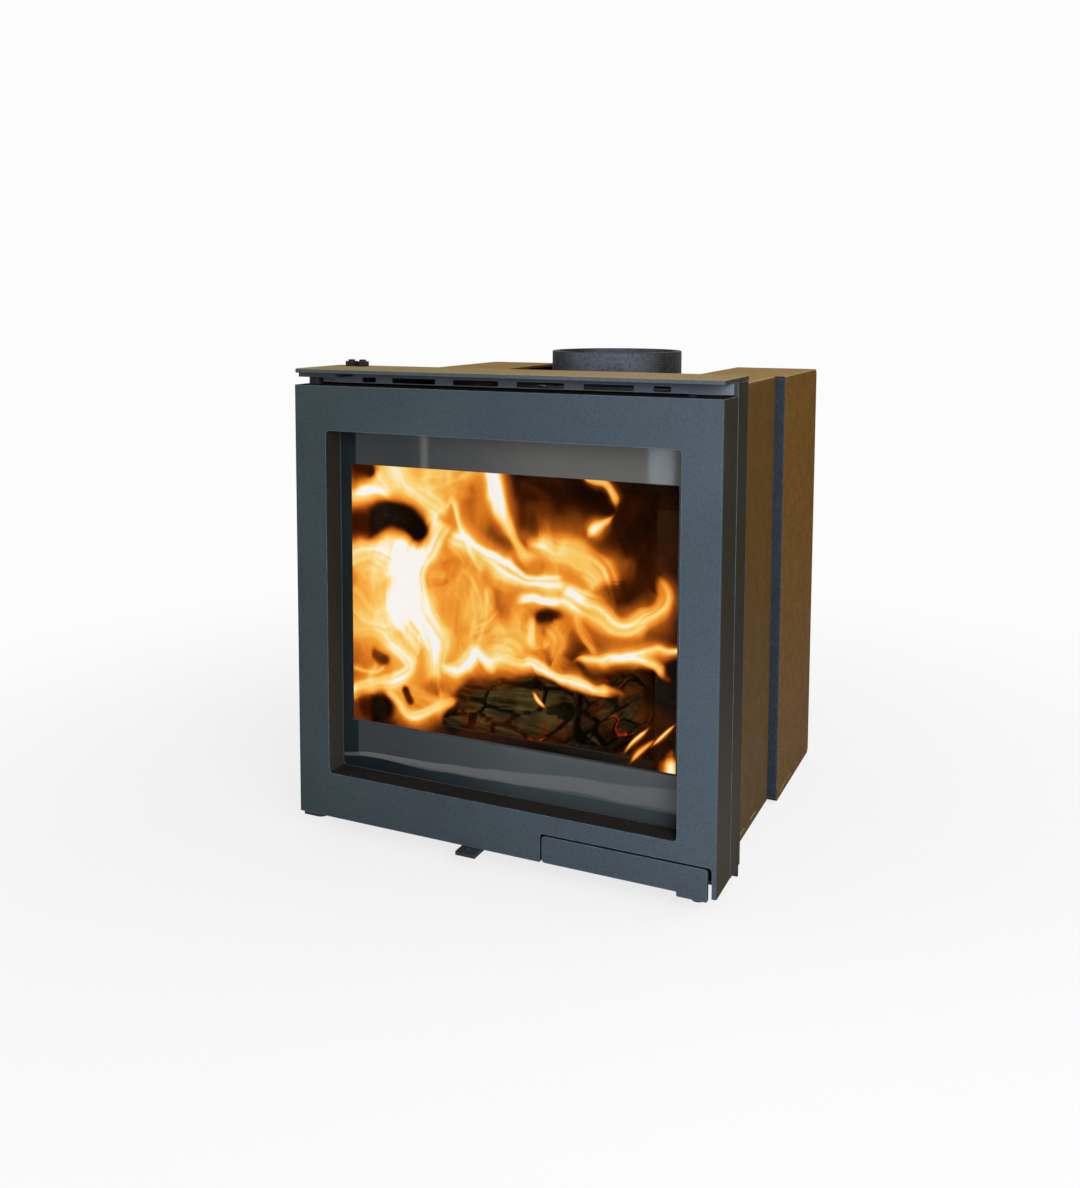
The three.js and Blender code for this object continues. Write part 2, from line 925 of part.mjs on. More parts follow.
// The top sheet is folded down along both sides and the back, so its upper edges are round.
function convectionTop() {
  const sideFolds = [-1, 1].flatMap((s) => [
    front(foldShape(casingSide, s), frameBack - cutOver, jacketFront),
    front(foldShape(jacketSide, s), jacketFront - cutOver, jacketBack + cutOver),
  ]);
  const rearFold = profile(foldShape(jacketBack, 1), -jacketSide - cutOver, jacketSide + cutOver);
  return cut(plan(casingPlan(true), sheetTop, casingTop), ...sideFolds, rearFold);
}
add(insert, "convection_top", convectionTop(), casingPaint);
add(
  insert,
  "casing_base",
  cut(
    plan(casingPlan(false), casingLift, sheetFloor),
    ...footPlaces.map(([x, y]) =>
      rod(footShank + seatGap, casingLift - cutOver, sheetFloor + cutOver, x, y),
    ),
  ),
  casingPaint,
);
footPlaces.forEach(([x, y], i) => {
  const name = `levelling_foot_${["front_left", "rear_left", "front_right", "rear_right"][i]}`;
  const foot = turned(
    [
      [0, 0],
      [footRadius, 0],
      [footRadius, casingLift - edgeBreak],
      [footRadius - edgeBreak, casingLift],
      [footShank, casingLift],
      [footShank, casingLift + footShankLength],
      [0, casingLift + footShankLength],
    ],
    x,
    y,
    rodFacets,
  );
  add(insert, name, foot, zincSteel);
});

// One side of the casing, folded outwards at the front to close the back of the frame.
function casingSidePlan(s) {
  const flange = side - frameWall / 2;
  return outline([
    [s * casingSide, frameBack + casingSheet, edgeBreak],
    [s * flange, frameBack + casingSheet],
    [s * flange, frameBack],
    [s * (casingSide - casingSheet), frameBack],
    [s * (casingSide - casingSheet), jacketFront],
    [s * casingSide, jacketFront],
  ]);
}

// One side of the rear jacket, folded inwards at the front to meet the casing side.
function jacketPlan(s) {
  const inner = casingSide - casingSheet;
  return outline([
    [s * inner, jacketFront],
    [s * jacketSide, jacketFront, bendRadius],
    [s * jacketSide, jacketBack],
    [s * (jacketSide - casingSheet), jacketBack],
    [s * (jacketSide - casingSheet), jacketFront + casingSheet, edgeBreak],
    [s * inner, jacketFront + casingSheet],
  ]);
}

// A low, long slot through a side sheet whose outer face is at x.
function ventCutter(x, y0, length) {
  const low = casingLift + ventSill;
  const shape = rectangle(y0, y0 + length, low, low + ventHeight, ventHeight / 3);
  return profile(shape, x - casingSheet - cutOver, x + casingSheet + cutOver);
}

for (const [s, name] of [
  [-1, "left"],
  [1, "right"],
]) {
  const casingVents = Array.from({ length: ventCount }, (_, i) => {
    const y0 = frameBack + ventStart + i * ventPitch - ventLength / 2;
    return ventCutter(s * casingSide, y0, ventLength);
  });
  const jacketVent = ventCutter(s * jacketSide, jacketFront + jacketVentStart, jacketVentLength);
  const casingSheetSide = plan(casingSidePlan(s), sheetFloor, sheetTop);
  const jacketSheetSide = plan(jacketPlan(s), sheetFloor, sheetTop);
  add(insert, `casing_side_${name}`, cut(casingSheetSide, ...casingVents), casingPaint);
  add(insert, `jacket_${name}`, cut(jacketSheetSide, jacketVent), casingPaint);
}

const backHalf = jacketSide - casingSheet;
add(
  insert,
  "jacket_back",
  front(
    outline([
      [-backHalf, sheetFloor],
      [backHalf, sheetFloor],
      [backHalf, sheetTop],
      [notchWidth / 2, sheetTop],
      [notchWidth / 2, sheetTop - notchDrop, bendRadius],
      [-notchWidth / 2, sheetTop - notchDrop, bendRadius],
      [-notchWidth / 2, sheetTop],
      [-backHalf, sheetTop],
    ]),
    jacketBack - casingSheet,
    jacketBack,
  ),
  casingPaint,
);

// ---------------------------------------------------------------- firebox
const portX = leverOffset;
const portFront = damperBack + (damperLength - portLength) / 2;

for (const [s, name] of [
  [-1, "left"],
  [1, "right"],
]) {
  const edges = [s * mouthHalf, s * boxSide].sort((a, b) => a - b);
  add(insert, `firebox_${name}`, box(...edges, flangeBack, boxBack, plateLow, plateHigh), darkSteel);
}
add(
  insert,
  "firebox_back",
  box(-mouthHalf, mouthHalf, boxBack - boxPlate, boxBack, plateLow, plateHigh),
  darkSteel,
);
add(
  insert,
  "firebox_floor",
  cut(
    box(-boxSide, boxSide, flangeBack, boxBack, boxFloor, plateLow),
    box(
      portX - portWidth / 2,
      portX + portWidth / 2,
      portFront,
      portFront + portLength,
      boxFloor - cutOver,
      plateLow + cutOver,
    ),
  ),
  darkSteel,
);
add(
  insert,
  "firebox_top",
  cut(
    box(-boxSide, boxSide, flangeBack, boxBack, plateHigh, boxTop),
    rod(flueRadius, plateHigh - cutOver, boxTop + cutOver, 0, flueBack, flueFacets),
  ),
  darkSteel,
);

function flueCollar() {
  const outer = flueRadius + flueWall;
  const flangeTop = boxTop + collarFlange;
  const ring = turned(
    [
      [flueRadius, boxTop],
      [collarFlangeRadius, boxTop],
      [collarFlangeRadius, flangeTop],
      [outer + smallCorner, flangeTop],
      [outer, flangeTop + smallCorner],
      [outer, boxTop + flueRise - edgeBreak],
      [outer - edgeBreak, boxTop + flueRise],
      [flueRadius, boxTop + flueRise],
      [flueRadius, boxTop],
    ],
    0,
    flueBack,
    flueFacets,
  );
  const heads = Array.from({ length: collarBoltCount }, (_, i) => {
    const a = ((i + 0.5) * 2 * Math.PI) / collarBoltCount;
    const x = collarBoltCircle * Math.cos(a);
    const y = flueBack + collarBoltCircle * Math.sin(a);
    return hexagon(nutAcross, flangeTop - cutOver, flangeTop + nutHeight, x, y);
  });
  return join(ring, ...heads);
}
add(insert, "flue_collar", flueCollar(), castIron);

// ---------------------------------------------------------------- hearth bricks, grate and lining
const innerHalf = mouthHalf - seatGap;
const bedFront = flangeBack + seatGap;
const bedBack = brickFace - seatGap;
const ledgeTop = hearthTop - grateThickness;
const wellHalf = wellWidth / 2;
const grateHalf = wellHalf + grateLedge - seatGap;

// Room for the grate, cut as a step into the bricks round the ash well.
const grateSeat = box(
  -wellHalf - grateLedge,
  wellHalf + grateLedge,
  wellFront - grateLedge,
  wellBack + grateLedge,
  ledgeTop - seatGap,
  hearthTop + cutOver,
);
const hearthBricks = {
  hearth_brick_front: [-innerHalf, innerHalf, bedFront, wellFront],
  hearth_brick_rear: [-innerHalf, innerHalf, wellBack, bedBack],
  hearth_brick_left: [-innerHalf, -wellHalf, wellFront + seatGap, wellBack - seatGap],
  hearth_brick_right: [wellHalf, innerHalf, wellFront + seatGap, wellBack - seatGap],
};
for (const [name, edges] of Object.entries(hearthBricks))
  add(insert, name, cut(box(...edges, plateLow, hearthTop), grateSeat), fireBrick);

function grate() {
  const y0 = wellFront - grateLedge + seatGap;
  const y1 = wellBack + grateLedge - seatGap;
  const plate = box(-grateHalf, grateHalf, y0, y1, ledgeTop, hearthTop);
  const pitch = (2 * wellHalf) / grateSlots;
  const slots = Array.from({ length: grateSlots }, (_, i) => {
    const x = -wellHalf + (i + 0.5) * pitch;
    const shape = rectangle(
      x - grateSlotWidth / 2,
      x + grateSlotWidth / 2,
      y0 + grateSlotEnd,
      y1 - grateSlotEnd,
      grateSlotWidth / 3,
    );
    return plan(shape, ledgeTop - cutOver, hearthTop + cutOver);
  });
  return cut(plate, ...slots);
}
add(insert, "grate", grate(), castIron);

const lineFront = flangeBack + seatGap;
const lineLow = hearthTop + seatGap;
const topFront = plateHigh - smokeRoomFront;
const topRear = plateHigh - smokeRoomRear;
const baffleFront = flangeBack + baffleStart;
for (const [s, name] of [
  [-1, "left"],
  [1, "right"],
]) {
  const shape = outline([
    [lineFront, lineLow],
    [brickFace - seatGap, lineLow],
    [brickFace - seatGap, topRear],
    [baffleFront, topFront],
    [lineFront, topFront],
  ]);
  const edges = [s * innerHalf, s * (innerHalf - brickThickness)].sort((a, b) => a - b);
  add(insert, `brick_${name}`, profile(shape, ...edges), fireBrick);
}
add(
  insert,
  "brick_back",
  box(-innerHalf, innerHalf, brickFace, brickBack, plateLow, topRear),
  fireBrick,
);
add(
  insert,
  "baffle_plate",
  profile(
    outline([
      [baffleFront, topFront + seatGap],
      [brickFace - seatGap, topRear + seatGap],
      [brickFace - seatGap, topRear + seatGap + baffleThickness],
      [baffleFront, topFront + seatGap + baffleThickness],
    ]),
    -innerHalf,
    innerHalf,
  ),
  fireBrick,
);

const guardHalf = innerHalf - brickThickness - seatGap;
add(
  insert,
  "log_guard",
  join(
    front(
      outline([
        [-guardHalf, hearthTop],
        [guardHalf, hearthTop],
        [guardHalf, hearthTop + guardHeight, guardInset],
        [-guardHalf, hearthTop + guardHeight, guardInset],
      ]),
      flangeBack + guardInset,
      flangeBack + guardInset + guardThickness,
    ),
    box(
      -guardHalf,
      guardHalf,
      flangeBack + guardInset,
      flangeBack + guardInset + deflectorDepth / 2,
      hearthTop,
      hearthTop + guardThickness,
    ),
  ),
  castIron,
);

// Air wash: an angle under the firebox top that turns air down over the glass.
add(
  insert,
  "air_wash_deflector",
  profile(
    outline([
      [flangeBack, plateHigh - deflectorSheet],
      [flangeBack + deflectorDepth - deflectorSheet, plateHigh - deflectorSheet],
      [flangeBack + deflectorDepth / 2, plateHigh - deflectorHeight],
      [flangeBack + deflectorDepth / 2 + deflectorSheet, plateHigh - deflectorHeight],
      [flangeBack + deflectorDepth, plateHigh],
      [flangeBack, plateHigh],
    ]),
    -innerHalf,
    innerHalf,
  ),
  darkSteel,
);

// ---------------------------------------------------------------- air slide
const leverTop = frameBottom - leverDrop;
const leverBottom = leverTop - leverThickness;
const leverSpan = [leverOffset - leverWidth / 2, leverOffset + leverWidth / 2];
const damperSpan = [leverOffset - damperWidth / 2, leverOffset + damperWidth / 2];
const damperEnd = damperBack + damperLength;

function airLever() {
  const shape = outline([
    [leverSpan[0], -leverTip, edgeBreak],
    [leverSpan[1], -leverTip, edgeBreak],
    [leverSpan[1], damperBack],
    [damperSpan[1], damperBack, smallCorner],
    [damperSpan[1], damperEnd, smallCorner],
    [damperSpan[0], damperEnd, smallCorner],
    [damperSpan[0], damperBack, smallCorner],
    [leverSpan[0], damperBack],
  ]);
  const holeY = leverWidth / 2 - leverTip;
  const hole = rod(leverHole, leverBottom - cutOver, leverTop + cutOver, leverOffset, holeY);
  return cut(plan(shape, leverBottom, leverTop), hole);
}
add(airSlide, "air_lever", airLever(), darkSteel);

// Rails under the firebox floor: the damper runs between them on two lips.
function damperGuide() {
  const inner = damperWidth / 2 + slideGap;
  const low = leverBottom - slideGap - guideWall;
  const y0 = damperBack - leverOut - slideGap;
  const y1 = damperEnd + leverIn + slideGap;
  const rails = [-1, 1].flatMap((s) => {
    const wall = [leverOffset + s * inner, leverOffset + s * (inner + guideWall)].sort((a, b) => a - b);
    const lip = [leverOffset + s * (inner - guideLip), leverOffset + s * (inner + guideWall)].sort(
      (a, b) => a - b,
    );
    return [box(...wall, y0, y1, low, boxFloor), box(...lip, y0, y1, low, low + guideWall)];
  });
  const roof = box(
    leverOffset - inner - guideWall,
    leverOffset + inner + guideWall,
    y0,
    y1,
    leverTop + slideGap,
    boxFloor,
  );
  const port = box(
    portX - portWidth / 2,
    portX + portWidth / 2,
    portFront,
    portFront + portLength,
    leverTop,
    boxFloor + cutOver,
  );
  return cut(join(roof, ...rails), port);
}
add(insert, "damper_guide", damperGuide(), darkSteel);

// The stove's own origin is on the hearth, under the middle of its length.
insert.position.set(0, (leverTip - jacketBack) / 2, 0);

export default insert;
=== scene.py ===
"""Inset wood stove dressed for its picture: painted steel, castings, brick lining, door glass and wood fire.

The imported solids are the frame. This script gives every solid its finish and soft edges, and adds what the
solids leave out: the dark border and edge bead on the door glass, the logs, the ember bed and the flames.
Metres, in the stove's own frame: X across, Y back into the fireplace, Z up from the hearth.
"""
import json
import math

import bpy
import numpy as np
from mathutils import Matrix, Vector, noise


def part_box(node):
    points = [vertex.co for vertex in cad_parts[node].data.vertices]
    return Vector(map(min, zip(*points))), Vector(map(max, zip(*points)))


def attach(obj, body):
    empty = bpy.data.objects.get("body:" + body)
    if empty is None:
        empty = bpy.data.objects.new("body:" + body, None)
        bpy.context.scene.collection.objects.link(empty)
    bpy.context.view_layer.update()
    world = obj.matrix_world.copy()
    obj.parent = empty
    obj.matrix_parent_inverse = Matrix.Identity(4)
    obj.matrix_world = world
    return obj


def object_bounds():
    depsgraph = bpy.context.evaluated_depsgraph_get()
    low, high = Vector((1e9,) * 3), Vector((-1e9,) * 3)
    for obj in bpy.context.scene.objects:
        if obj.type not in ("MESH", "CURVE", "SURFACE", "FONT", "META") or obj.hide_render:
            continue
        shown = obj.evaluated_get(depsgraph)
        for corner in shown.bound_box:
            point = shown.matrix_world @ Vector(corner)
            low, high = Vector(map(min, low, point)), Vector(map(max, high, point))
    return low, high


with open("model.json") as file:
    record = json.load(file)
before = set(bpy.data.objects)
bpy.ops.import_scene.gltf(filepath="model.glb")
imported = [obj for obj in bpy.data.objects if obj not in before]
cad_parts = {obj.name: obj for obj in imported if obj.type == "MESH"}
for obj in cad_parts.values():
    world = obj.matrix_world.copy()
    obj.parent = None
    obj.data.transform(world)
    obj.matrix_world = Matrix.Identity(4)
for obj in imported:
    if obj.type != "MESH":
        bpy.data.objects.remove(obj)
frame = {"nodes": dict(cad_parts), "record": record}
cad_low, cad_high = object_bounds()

MM = 0.001
scene = bpy.context.scene

# ---------------------------------------------------------------- places read from the frame
glass_low, glass_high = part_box("glass_pane")
lining_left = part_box("brick_left")[1].x
lining_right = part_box("brick_right")[0].x
lining_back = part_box("brick_back")[0].y
lining_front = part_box("brick_left")[0].y
hearth_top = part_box("grate")[1].z
glass_lap = 6 * MM  # how far the glass runs on behind the window's edge
window_left = glass_low.x + glass_lap
window_right = glass_high.x - glass_lap
window_bottom = glass_low.z + glass_lap
window_top = glass_high.z - glass_lap


# ---------------------------------------------------------------- shader helpers
class Shader:
    """A node tree that is filled in one call per node."""

    def __init__(self, tree):
        self.nodes = tree.nodes
        self.links = tree.links

    def put(self, socket, value):
        if isinstance(value, bpy.types.NodeSocket):
            self.links.new(value, socket)
        elif value is not None:
            socket.default_value = value

    def add(self, kind, settings=None, **inputs):
        node = self.nodes.new(kind)
        for key, value in (settings or {}).items():
            setattr(node, key, value)
        for key, value in inputs.items():
            name = key.replace("_", " ")
            self.put(node.inputs[name], value)
        return node

    def math(self, operation, a, b=None, c=None, clamp=False):
        node = self.nodes.new("ShaderNodeMath")
        node.operation = operation
        node.use_clamp = clamp
        for i, value in enumerate((a, b, c)):
            self.put(node.inputs[i], value)
        return node.outputs[0]

    def vector(self, operation, a, b=None):
        node = self.nodes.new("ShaderNodeVectorMath")
        node.operation = operation
        self.put(node.inputs[0], a)
        if b is not None:
            self.put(node.inputs[1], b)
        return node.outputs["Value" if operation in ("DOT_PRODUCT", "LENGTH") else "Vector"]

    def mix(self, factor, a, b, blend="MIX"):
        node = self.nodes.new("ShaderNodeMix")
        node.data_type = "RGBA"
        node.blend_type = blend
        self.put(node.inputs["Factor"], factor)
        for name, value in (("A", a), ("B", b)):
            self.put([i for i in node.inputs if i.name == name and i.type == "RGBA"][0], value)
        return [o for o in node.outputs if o.type == "RGBA"][0]

    def span(self, value, low, high, to_low=0.0, to_high=1.0, smooth=True):
        """Carries the span from low to high over to that from to_low to to_high, and holds its ends."""
        node = self.nodes.new("ShaderNodeMapRange")
        node.interpolation_type = "SMOOTHSTEP" if smooth else "LINEAR"
        given = {"Value": value, "From Min": low, "From Max": high, "To Min": to_low, "To Max": to_high}
        for name, amount in given.items():
            self.put(node.inputs[name], amount)
        return node.outputs[0]

    def scaled(self, colour, gain):
        """A colour times one number."""
        even = self.add("ShaderNodeCombineXYZ", X=gain, Y=gain, Z=gain).outputs[0]
        return self.vector("MULTIPLY", colour, even)

    def noise(self, place, scale, detail=3.0, roughness=0.5, distortion=0.0):
        grain = {"Scale": scale, "Detail": detail, "Roughness": roughness, "Distortion": distortion}
        return self.add("ShaderNodeTexNoise", Vector=place, **grain).outputs[0]

    def ramp(self, value, stops):
        node = self.nodes.new("ShaderNodeValToRGB")
        elements = node.color_ramp.elements
        while len(elements) < len(stops):
            elements.new(0.5)
        for element, (at, colour) in zip(elements, stops):
            element.position = at
            element.color = (*colour, 1.0)
        self.put(node.inputs[0], value)
        return node.outputs[0]

    def place(self):
        return self.nodes.new("ShaderNodeTexCoord").outputs["Object"]

    def kept(self, name):
        """A value that the mesh keeps at each point."""
        return self.add("ShaderNodeAttribute", {"attribute_name": name}).outputs["Fac"]

    def split(self, vector):
        node = self.nodes.new("ShaderNodeSeparateXYZ")
        self.put(node.inputs[0], vector)
        return node.outputs

    def use(self, effect, **inputs):
        node = self.nodes.new("ShaderNodeGroup")
        node.node_tree = effect
        for key, value in inputs.items():
            self.put(node.inputs[key.replace("_", " ")], value)
        return node.outputs


def effect_group(name, inputs, outputs, build):
    """A shader node group; inputs and outputs are (name, socket type, default)."""
    tree = bpy.data.node_groups.new(name, "ShaderNodeTree")
    for label, kind, default in inputs:
        socket = tree.interface.new_socket(name=label, in_out="INPUT", socket_type=kind)
        socket.default_value = default
    for label, kind in outputs:
        tree.interface.new_socket(name=label, in_out="OUTPUT", socket_type=kind)
    s = Shader(tree)
    given = tree.nodes.new("NodeGroupInput").outputs
    made = build(s, {label: given[label] for label, _, _ in inputs})
    result = tree.nodes.new("NodeGroupOutput").inputs
    for label, socket in made.items():
        tree.links.new(socket, result[label])
    return tree


FLOAT, COLOUR = "NodeSocketFloat", "NodeSocketColor"


# Fine orange peel of sprayed stove paint: a height for the bump and a speckle for the colour.
def build_spray(s, given):
    place = s.place()
    fine = s.noise(place, given["Grain Scale"], 2.0, 0.6)
    broad = s.noise(place, s.math("MULTIPLY", given["Grain Scale"], 0.22), 3.0, 0.55)
    height = s.math("ADD", s.math("MULTIPLY", fine, 0.65), s.math("MULTIPLY", broad, 0.35))
    return {"Height": height, "Speckle": s.span(fine, 0.3, 0.7)}


spray_texture = effect_group(
    "spray_texture",
    [("Grain Scale", FLOAT, 900.0)],
    [("Height", FLOAT), ("Speckle", FLOAT)],
    build_spray,
)


# Slow drift of tone over a sheet, from handling and heat.
def build_drift(s, given):
    cloud = s.noise(s.place(), given["Patch Scale"], 4.0, 0.55, 0.6)
    shift = s.span(cloud, 0.3, 0.7, -1.0, 1.0)
    gain = s.math("MULTIPLY_ADD", shift, given["Amount"], 1.0)
    return {"Colour": s.scaled(given["Colour"], gain), "Cloud": cloud}


tone_drift = effect_group(
    "tone_drift",
    [("Colour", COLOUR, (0.5, 0.5, 0.5, 1.0)), ("Patch Scale", FLOAT, 6.0), ("Amount", FLOAT, 0.1)],
    [("Colour", COLOUR), ("Cloud", FLOAT)],
    build_drift,
)


# Edges: strong where the surface turns within the given radius, broken up by noise. The mask carries
# wear, and on the painted sheets a painted highlight too.
def build_turning_edges(s, given):
    rounded = s.add("ShaderNodeBevel", {"samples": 4}, Radius=given["Reach"]).outputs[0]
    true = s.nodes.new("ShaderNodeNewGeometry").outputs["Normal"]
    turn = s.math("SUBTRACT", 1.0, s.vector("DOT_PRODUCT", rounded, true))
    patchy = s.span(s.noise(s.place(), 70.0, 3.0, 0.6), 0.35, 0.65, 0.35, 1.0)
    return {"Mask": s.math("MULTIPLY", s.span(turn, 0.02, 0.22), patchy)}


turning_edge_mask = effect_group("turning_edge_mask", [("Reach", FLOAT, 1.2 * MM)], [("Mask", FLOAT)], build_turning_edges)


# Dust that settles on what faces up.
def build_dust(s, given):
    normal = s.nodes.new("ShaderNodeNewGeometry").outputs["Normal"]
    up = s.span(s.split(normal)[2], 0.55, 0.98)
    speck = s.span(s.noise(s.place(), 240.0, 4.0, 0.7), 0.4, 0.75)
    return {"Mask": s.math("MULTIPLY", s.math("MULTIPLY", up, speck), given["Amount"])}


settled_dust = effect_group("settled_dust", [("Amount", FLOAT, 0.2)], [("Mask", FLOAT)], build_dust)


# One coat in three tones by the way a face is turned, as painted light: what faces forward, what faces
# sideways or back, and what faces up.
faces_forward = (0.12, -0.99, 0.0)


def build_facing_light(s, given):
    normal = s.nodes.new("ShaderNodeNewGeometry").outputs["Normal"]
    forward = s.span(s.vector("DOT_PRODUCT", normal, faces_forward), 0.5, 0.97)
    upward = s.span(s.split(normal)[2], 0.3, 0.9)
    return {"Colour": s.mix(upward, s.mix(forward, given["Side"], given["Front"]), given["Top"])}


plain_grey = (0.1, 0.1, 0.1, 1.0)
facing_light_tone = effect_group(
    "facing_light_tone",
    [("Front", COLOUR, plain_grey), ("Side", COLOUR, plain_grey), ("Top", COLOUR, plain_grey)],
    [("Colour", COLOUR)],
    build_facing_light,
)


# Soot that thickens towards the top of the firebox.
def build_soot(s, given):
    place = s.place()
    height = s.split(place)[2]
    lift = s.span(height, given["From Height"], given["To Height"])
    cloud = s.noise(place, 11.0, 5.0, 0.6, 0.8)
    return {"Mask": s.span(s.math("ADD", lift, s.math("MULTIPLY", cloud, 0.9)), 0.35, 1.0)}


soot_film = effect_group(
    "soot_film",
    [("From Height", FLOAT, 0.1), ("To Height", FLOAT, 0.4)],
    [("Mask", FLOAT)],
    build_soot,
)


def finish_of(name, shine=0.5):
    """A new material that mirrors as much as shine says: the material, its nodes and its surface's inputs."""
    material = bpy.data.materials.new(name)
    material.use_nodes = True
    s = Shader(material.node_tree)
    surface = s.nodes["Principled BSDF"].inputs
    surface["Specular IOR Level"].default_value = shine
    return material, s, surface


def bump(s, surface, height, strength, distance):
    """Roughens a shader's surface by a height."""
    node = s.add("ShaderNodeBump", Strength=strength, Distance=distance, Height=height)
    s.put(surface["Normal"], node.outputs[0])


# ---------------------------------------------------------------- finishes
worn_edge_highlight = (0.19, 0.25, 0.32, 1.0)
rubbed_steel = (0.16, 0.15, 0.14, 1.0)
paint_dust = (0.42, 0.34, 0.24, 1.0)
iron_dust = (0.3, 0.27, 0.22, 1.0)
iron_pit = (0.008, 0.008, 0.008, 1.0)
brick_black = (0.014, 0.009, 0.005, 1.0)
hearth_glow = (0.16, 0.15, 0.13, 1.0)  # what the pale floor throws on the sides
glow_height = 380 * MM  # to which that reaches


def painted_sheet(name, lit_tones, roughness, edge_wear_highlight, dust, grain, patches=(5.0, 0.07)):
    """Sprayed stove paint with painted light. lit_tones: facing forward at the left and at the right, facing
    sideways, facing up.

    patches is the scale and the strength of its drift in tone."""
    left, right, side, top = ((*tone, 1.0) for tone in lit_tones)
    material, s, surface = finish_of(name, shine=0.0)
    x, _, z = s.split(s.place())
    # Painted light: the forward tone brightens from left to right.
    front = s.mix(s.span(x, cad_low.x, cad_high.x, smooth=False), left, right)
    low = s.span(z, cad_low.z, cad_low.z + glow_height, 0.16, 0.0)
    tone = s.use(facing_light_tone, Front=front, Side=s.mix(low, side, hearth_glow), Top=top)
    drift = s.use(tone_drift, Colour=tone["Colour"], Patch_Scale=patches[0], Amount=patches[1])
    spray = s.use(spray_texture, Grain_Scale=850.0)
    edges = s.use(turning_edge_mask, Reach=1.6 * MM)
    dusty = s.use(settled_dust, Amount=dust)
    gain = s.math("MULTIPLY_ADD", spray["Speckle"], grain, 1 - grain / 2)
    speckled = s.scaled(drift["Colour"], gain)
    # Lighter at the edges: rubbed paint, and a painted highlight along the rounded edges, strongest on the
    # stove paint.
    with_edges = s.mix(s.math("MULTIPLY", edges["Mask"], edge_wear_highlight), speckled, worn_edge_highlight)
    s.put(surface["Base Color"], s.mix(dusty["Mask"], with_edges, paint_dust))
    s.put(surface["Roughness"], s.span(drift["Cloud"], 0.3, 0.7, roughness - 0.05, roughness + 0.05))
    bump(s, surface, spray["Height"], 0.3, 0.3 * MM)
    return material


def plain_steel(name, colour, roughness, metallic, scale=420.0, strength=0.2):
    """Dull steel for the firebox, the latch and the small fittings."""
    material, s, surface = finish_of(name, shine=0.06)
    drift = s.use(tone_drift, Colour=(*colour, 1.0), Patch_Scale=30.0, Amount=0.2)
    spray = s.use(spray_texture, Grain_Scale=scale)
    edges = s.use(turning_edge_mask, Reach=1.0 * MM)
    with_edges = s.mix(s.math("MULTIPLY", edges["Mask"], 0.4), drift["Colour"], rubbed_steel)
    s.put(surface["Base Color"], with_edges)
    s.put(surface["Roughness"], s.span(spray["Speckle"], 0.0, 1.0, roughness - 0.08, roughness + 0.08))
    surface["Metallic"].default_value = metallic
    bump(s, surface, spray["Height"], strength, 0.3 * MM)
    return material


def rough_casting(name, front, side, top, fleck):
    """Sand-cast iron with painted light: the colours of its forward, sideways and upward faces, and of its
    grains.
    """
    material, s, surface = finish_of(name, shine=0.12)
    place = s.place()
    tone = s.use(facing_light_tone, Front=(*front, 1.0), Side=(*side, 1.0), Top=(*top, 1.0))
    drift = s.use(tone_drift, Colour=tone["Colour"], Patch_Scale=14.0, Amount=0.2)
    sand = s.noise(place, 420.0, 3.0, 0.65)
    pits = s.noise(place, 240.0, 4.0, 0.7)
    edges = s.use(turning_edge_mask, Reach=1.4 * MM)
    dusty = s.use(settled_dust, Amount=0.12)
    pitted = s.mix(s.span(pits, 0.35, 0.55, 0.45, 0.0), drift["Colour"], iron_pit)
    grains = s.mix(s.span(sand, 0.54, 0.7, 0.0, 0.4), pitted, (*fleck, 1.0))
    bright = (*(1.4 * c for c in fleck), 1.0)
    with_edges = s.mix(s.math("MULTIPLY", edges["Mask"], 0.35), grains, bright)
    s.put(surface["Base Color"], s.mix(dusty["Mask"], with_edges, iron_dust))
    s.put(surface["Roughness"], s.span(pits, 0.3, 0.7, 0.5, 0.72))
    height = s.math("ADD", s.math("MULTIPLY", sand, 0.6), s.math("MULTIPLY", pits, 0.4))
    bump(s, surface, height, 0.75, 0.7 * MM)
    return material


def sooty_brick(name):
    """Gritty fire brick, black from the smoke towards the top, and darker round the mouth."""
    material, s, surface = finish_of(name, shine=0.0)
    place = s.place()
    grit = s.noise(place, 260.0, 4.0, 0.7)
    cells = s.add("ShaderNodeTexVoronoi", Vector=place, Scale=190.0).outputs["Distance"]
    clay = [(0.25, (0.1, 0.06, 0.03)), (0.55, (0.17, 0.11, 0.06)), (0.8, (0.26, 0.18, 0.1))]
    soot = s.use(soot_film, From_Height=hearth_top, To_Height=hearth_top + 220 * MM)
    # Darker round the mouth.
    mouth = s.span(s.split(place)[1], lining_front + 5 * MM, lining_front + 40 * MM, 1.0, 0.0)
    blackened = s.math("MAXIMUM", soot["Mask"], mouth)
    s.put(surface["Base Color"], s.mix(blackened, s.ramp(grit, clay), brick_black))
    s.put(surface["Roughness"], s.span(grit, 0.2, 0.8, 0.82, 0.98))
    height = s.math("ADD", s.math("MULTIPLY", grit, 0.5), s.math("MULTIPLY", cells, 0.9))
    bump(s, surface, height, 0.6, 0.9 * MM)
    return material


def woven_rope(name):
    """Twisted glass rope, dark from the smoke."""
    material, s, surface = finish_of(name)
    place = s.place()
    weave = {"Scale": 180.0, "Distortion": 1.5, "Detail": 2.0}
    twist = s.add("ShaderNodeTexWave", {"bands_direction": "DIAGONAL"}, Vector=place, **weave).outputs[1]
    yarn = [(0.15, (0.012, 0.012, 0.012)), (0.6, (0.05, 0.05, 0.048)), (0.9, (0.11, 0.105, 0.1))]
    s.put(surface["Base Color"], s.ramp(twist, yarn))
    s.put(surface["Roughness"], s.span(twist, 0.0, 1.0, 0.98, 0.86))
    bump(s, surface, twist, 0.9, 1.2 * MM)
    return material


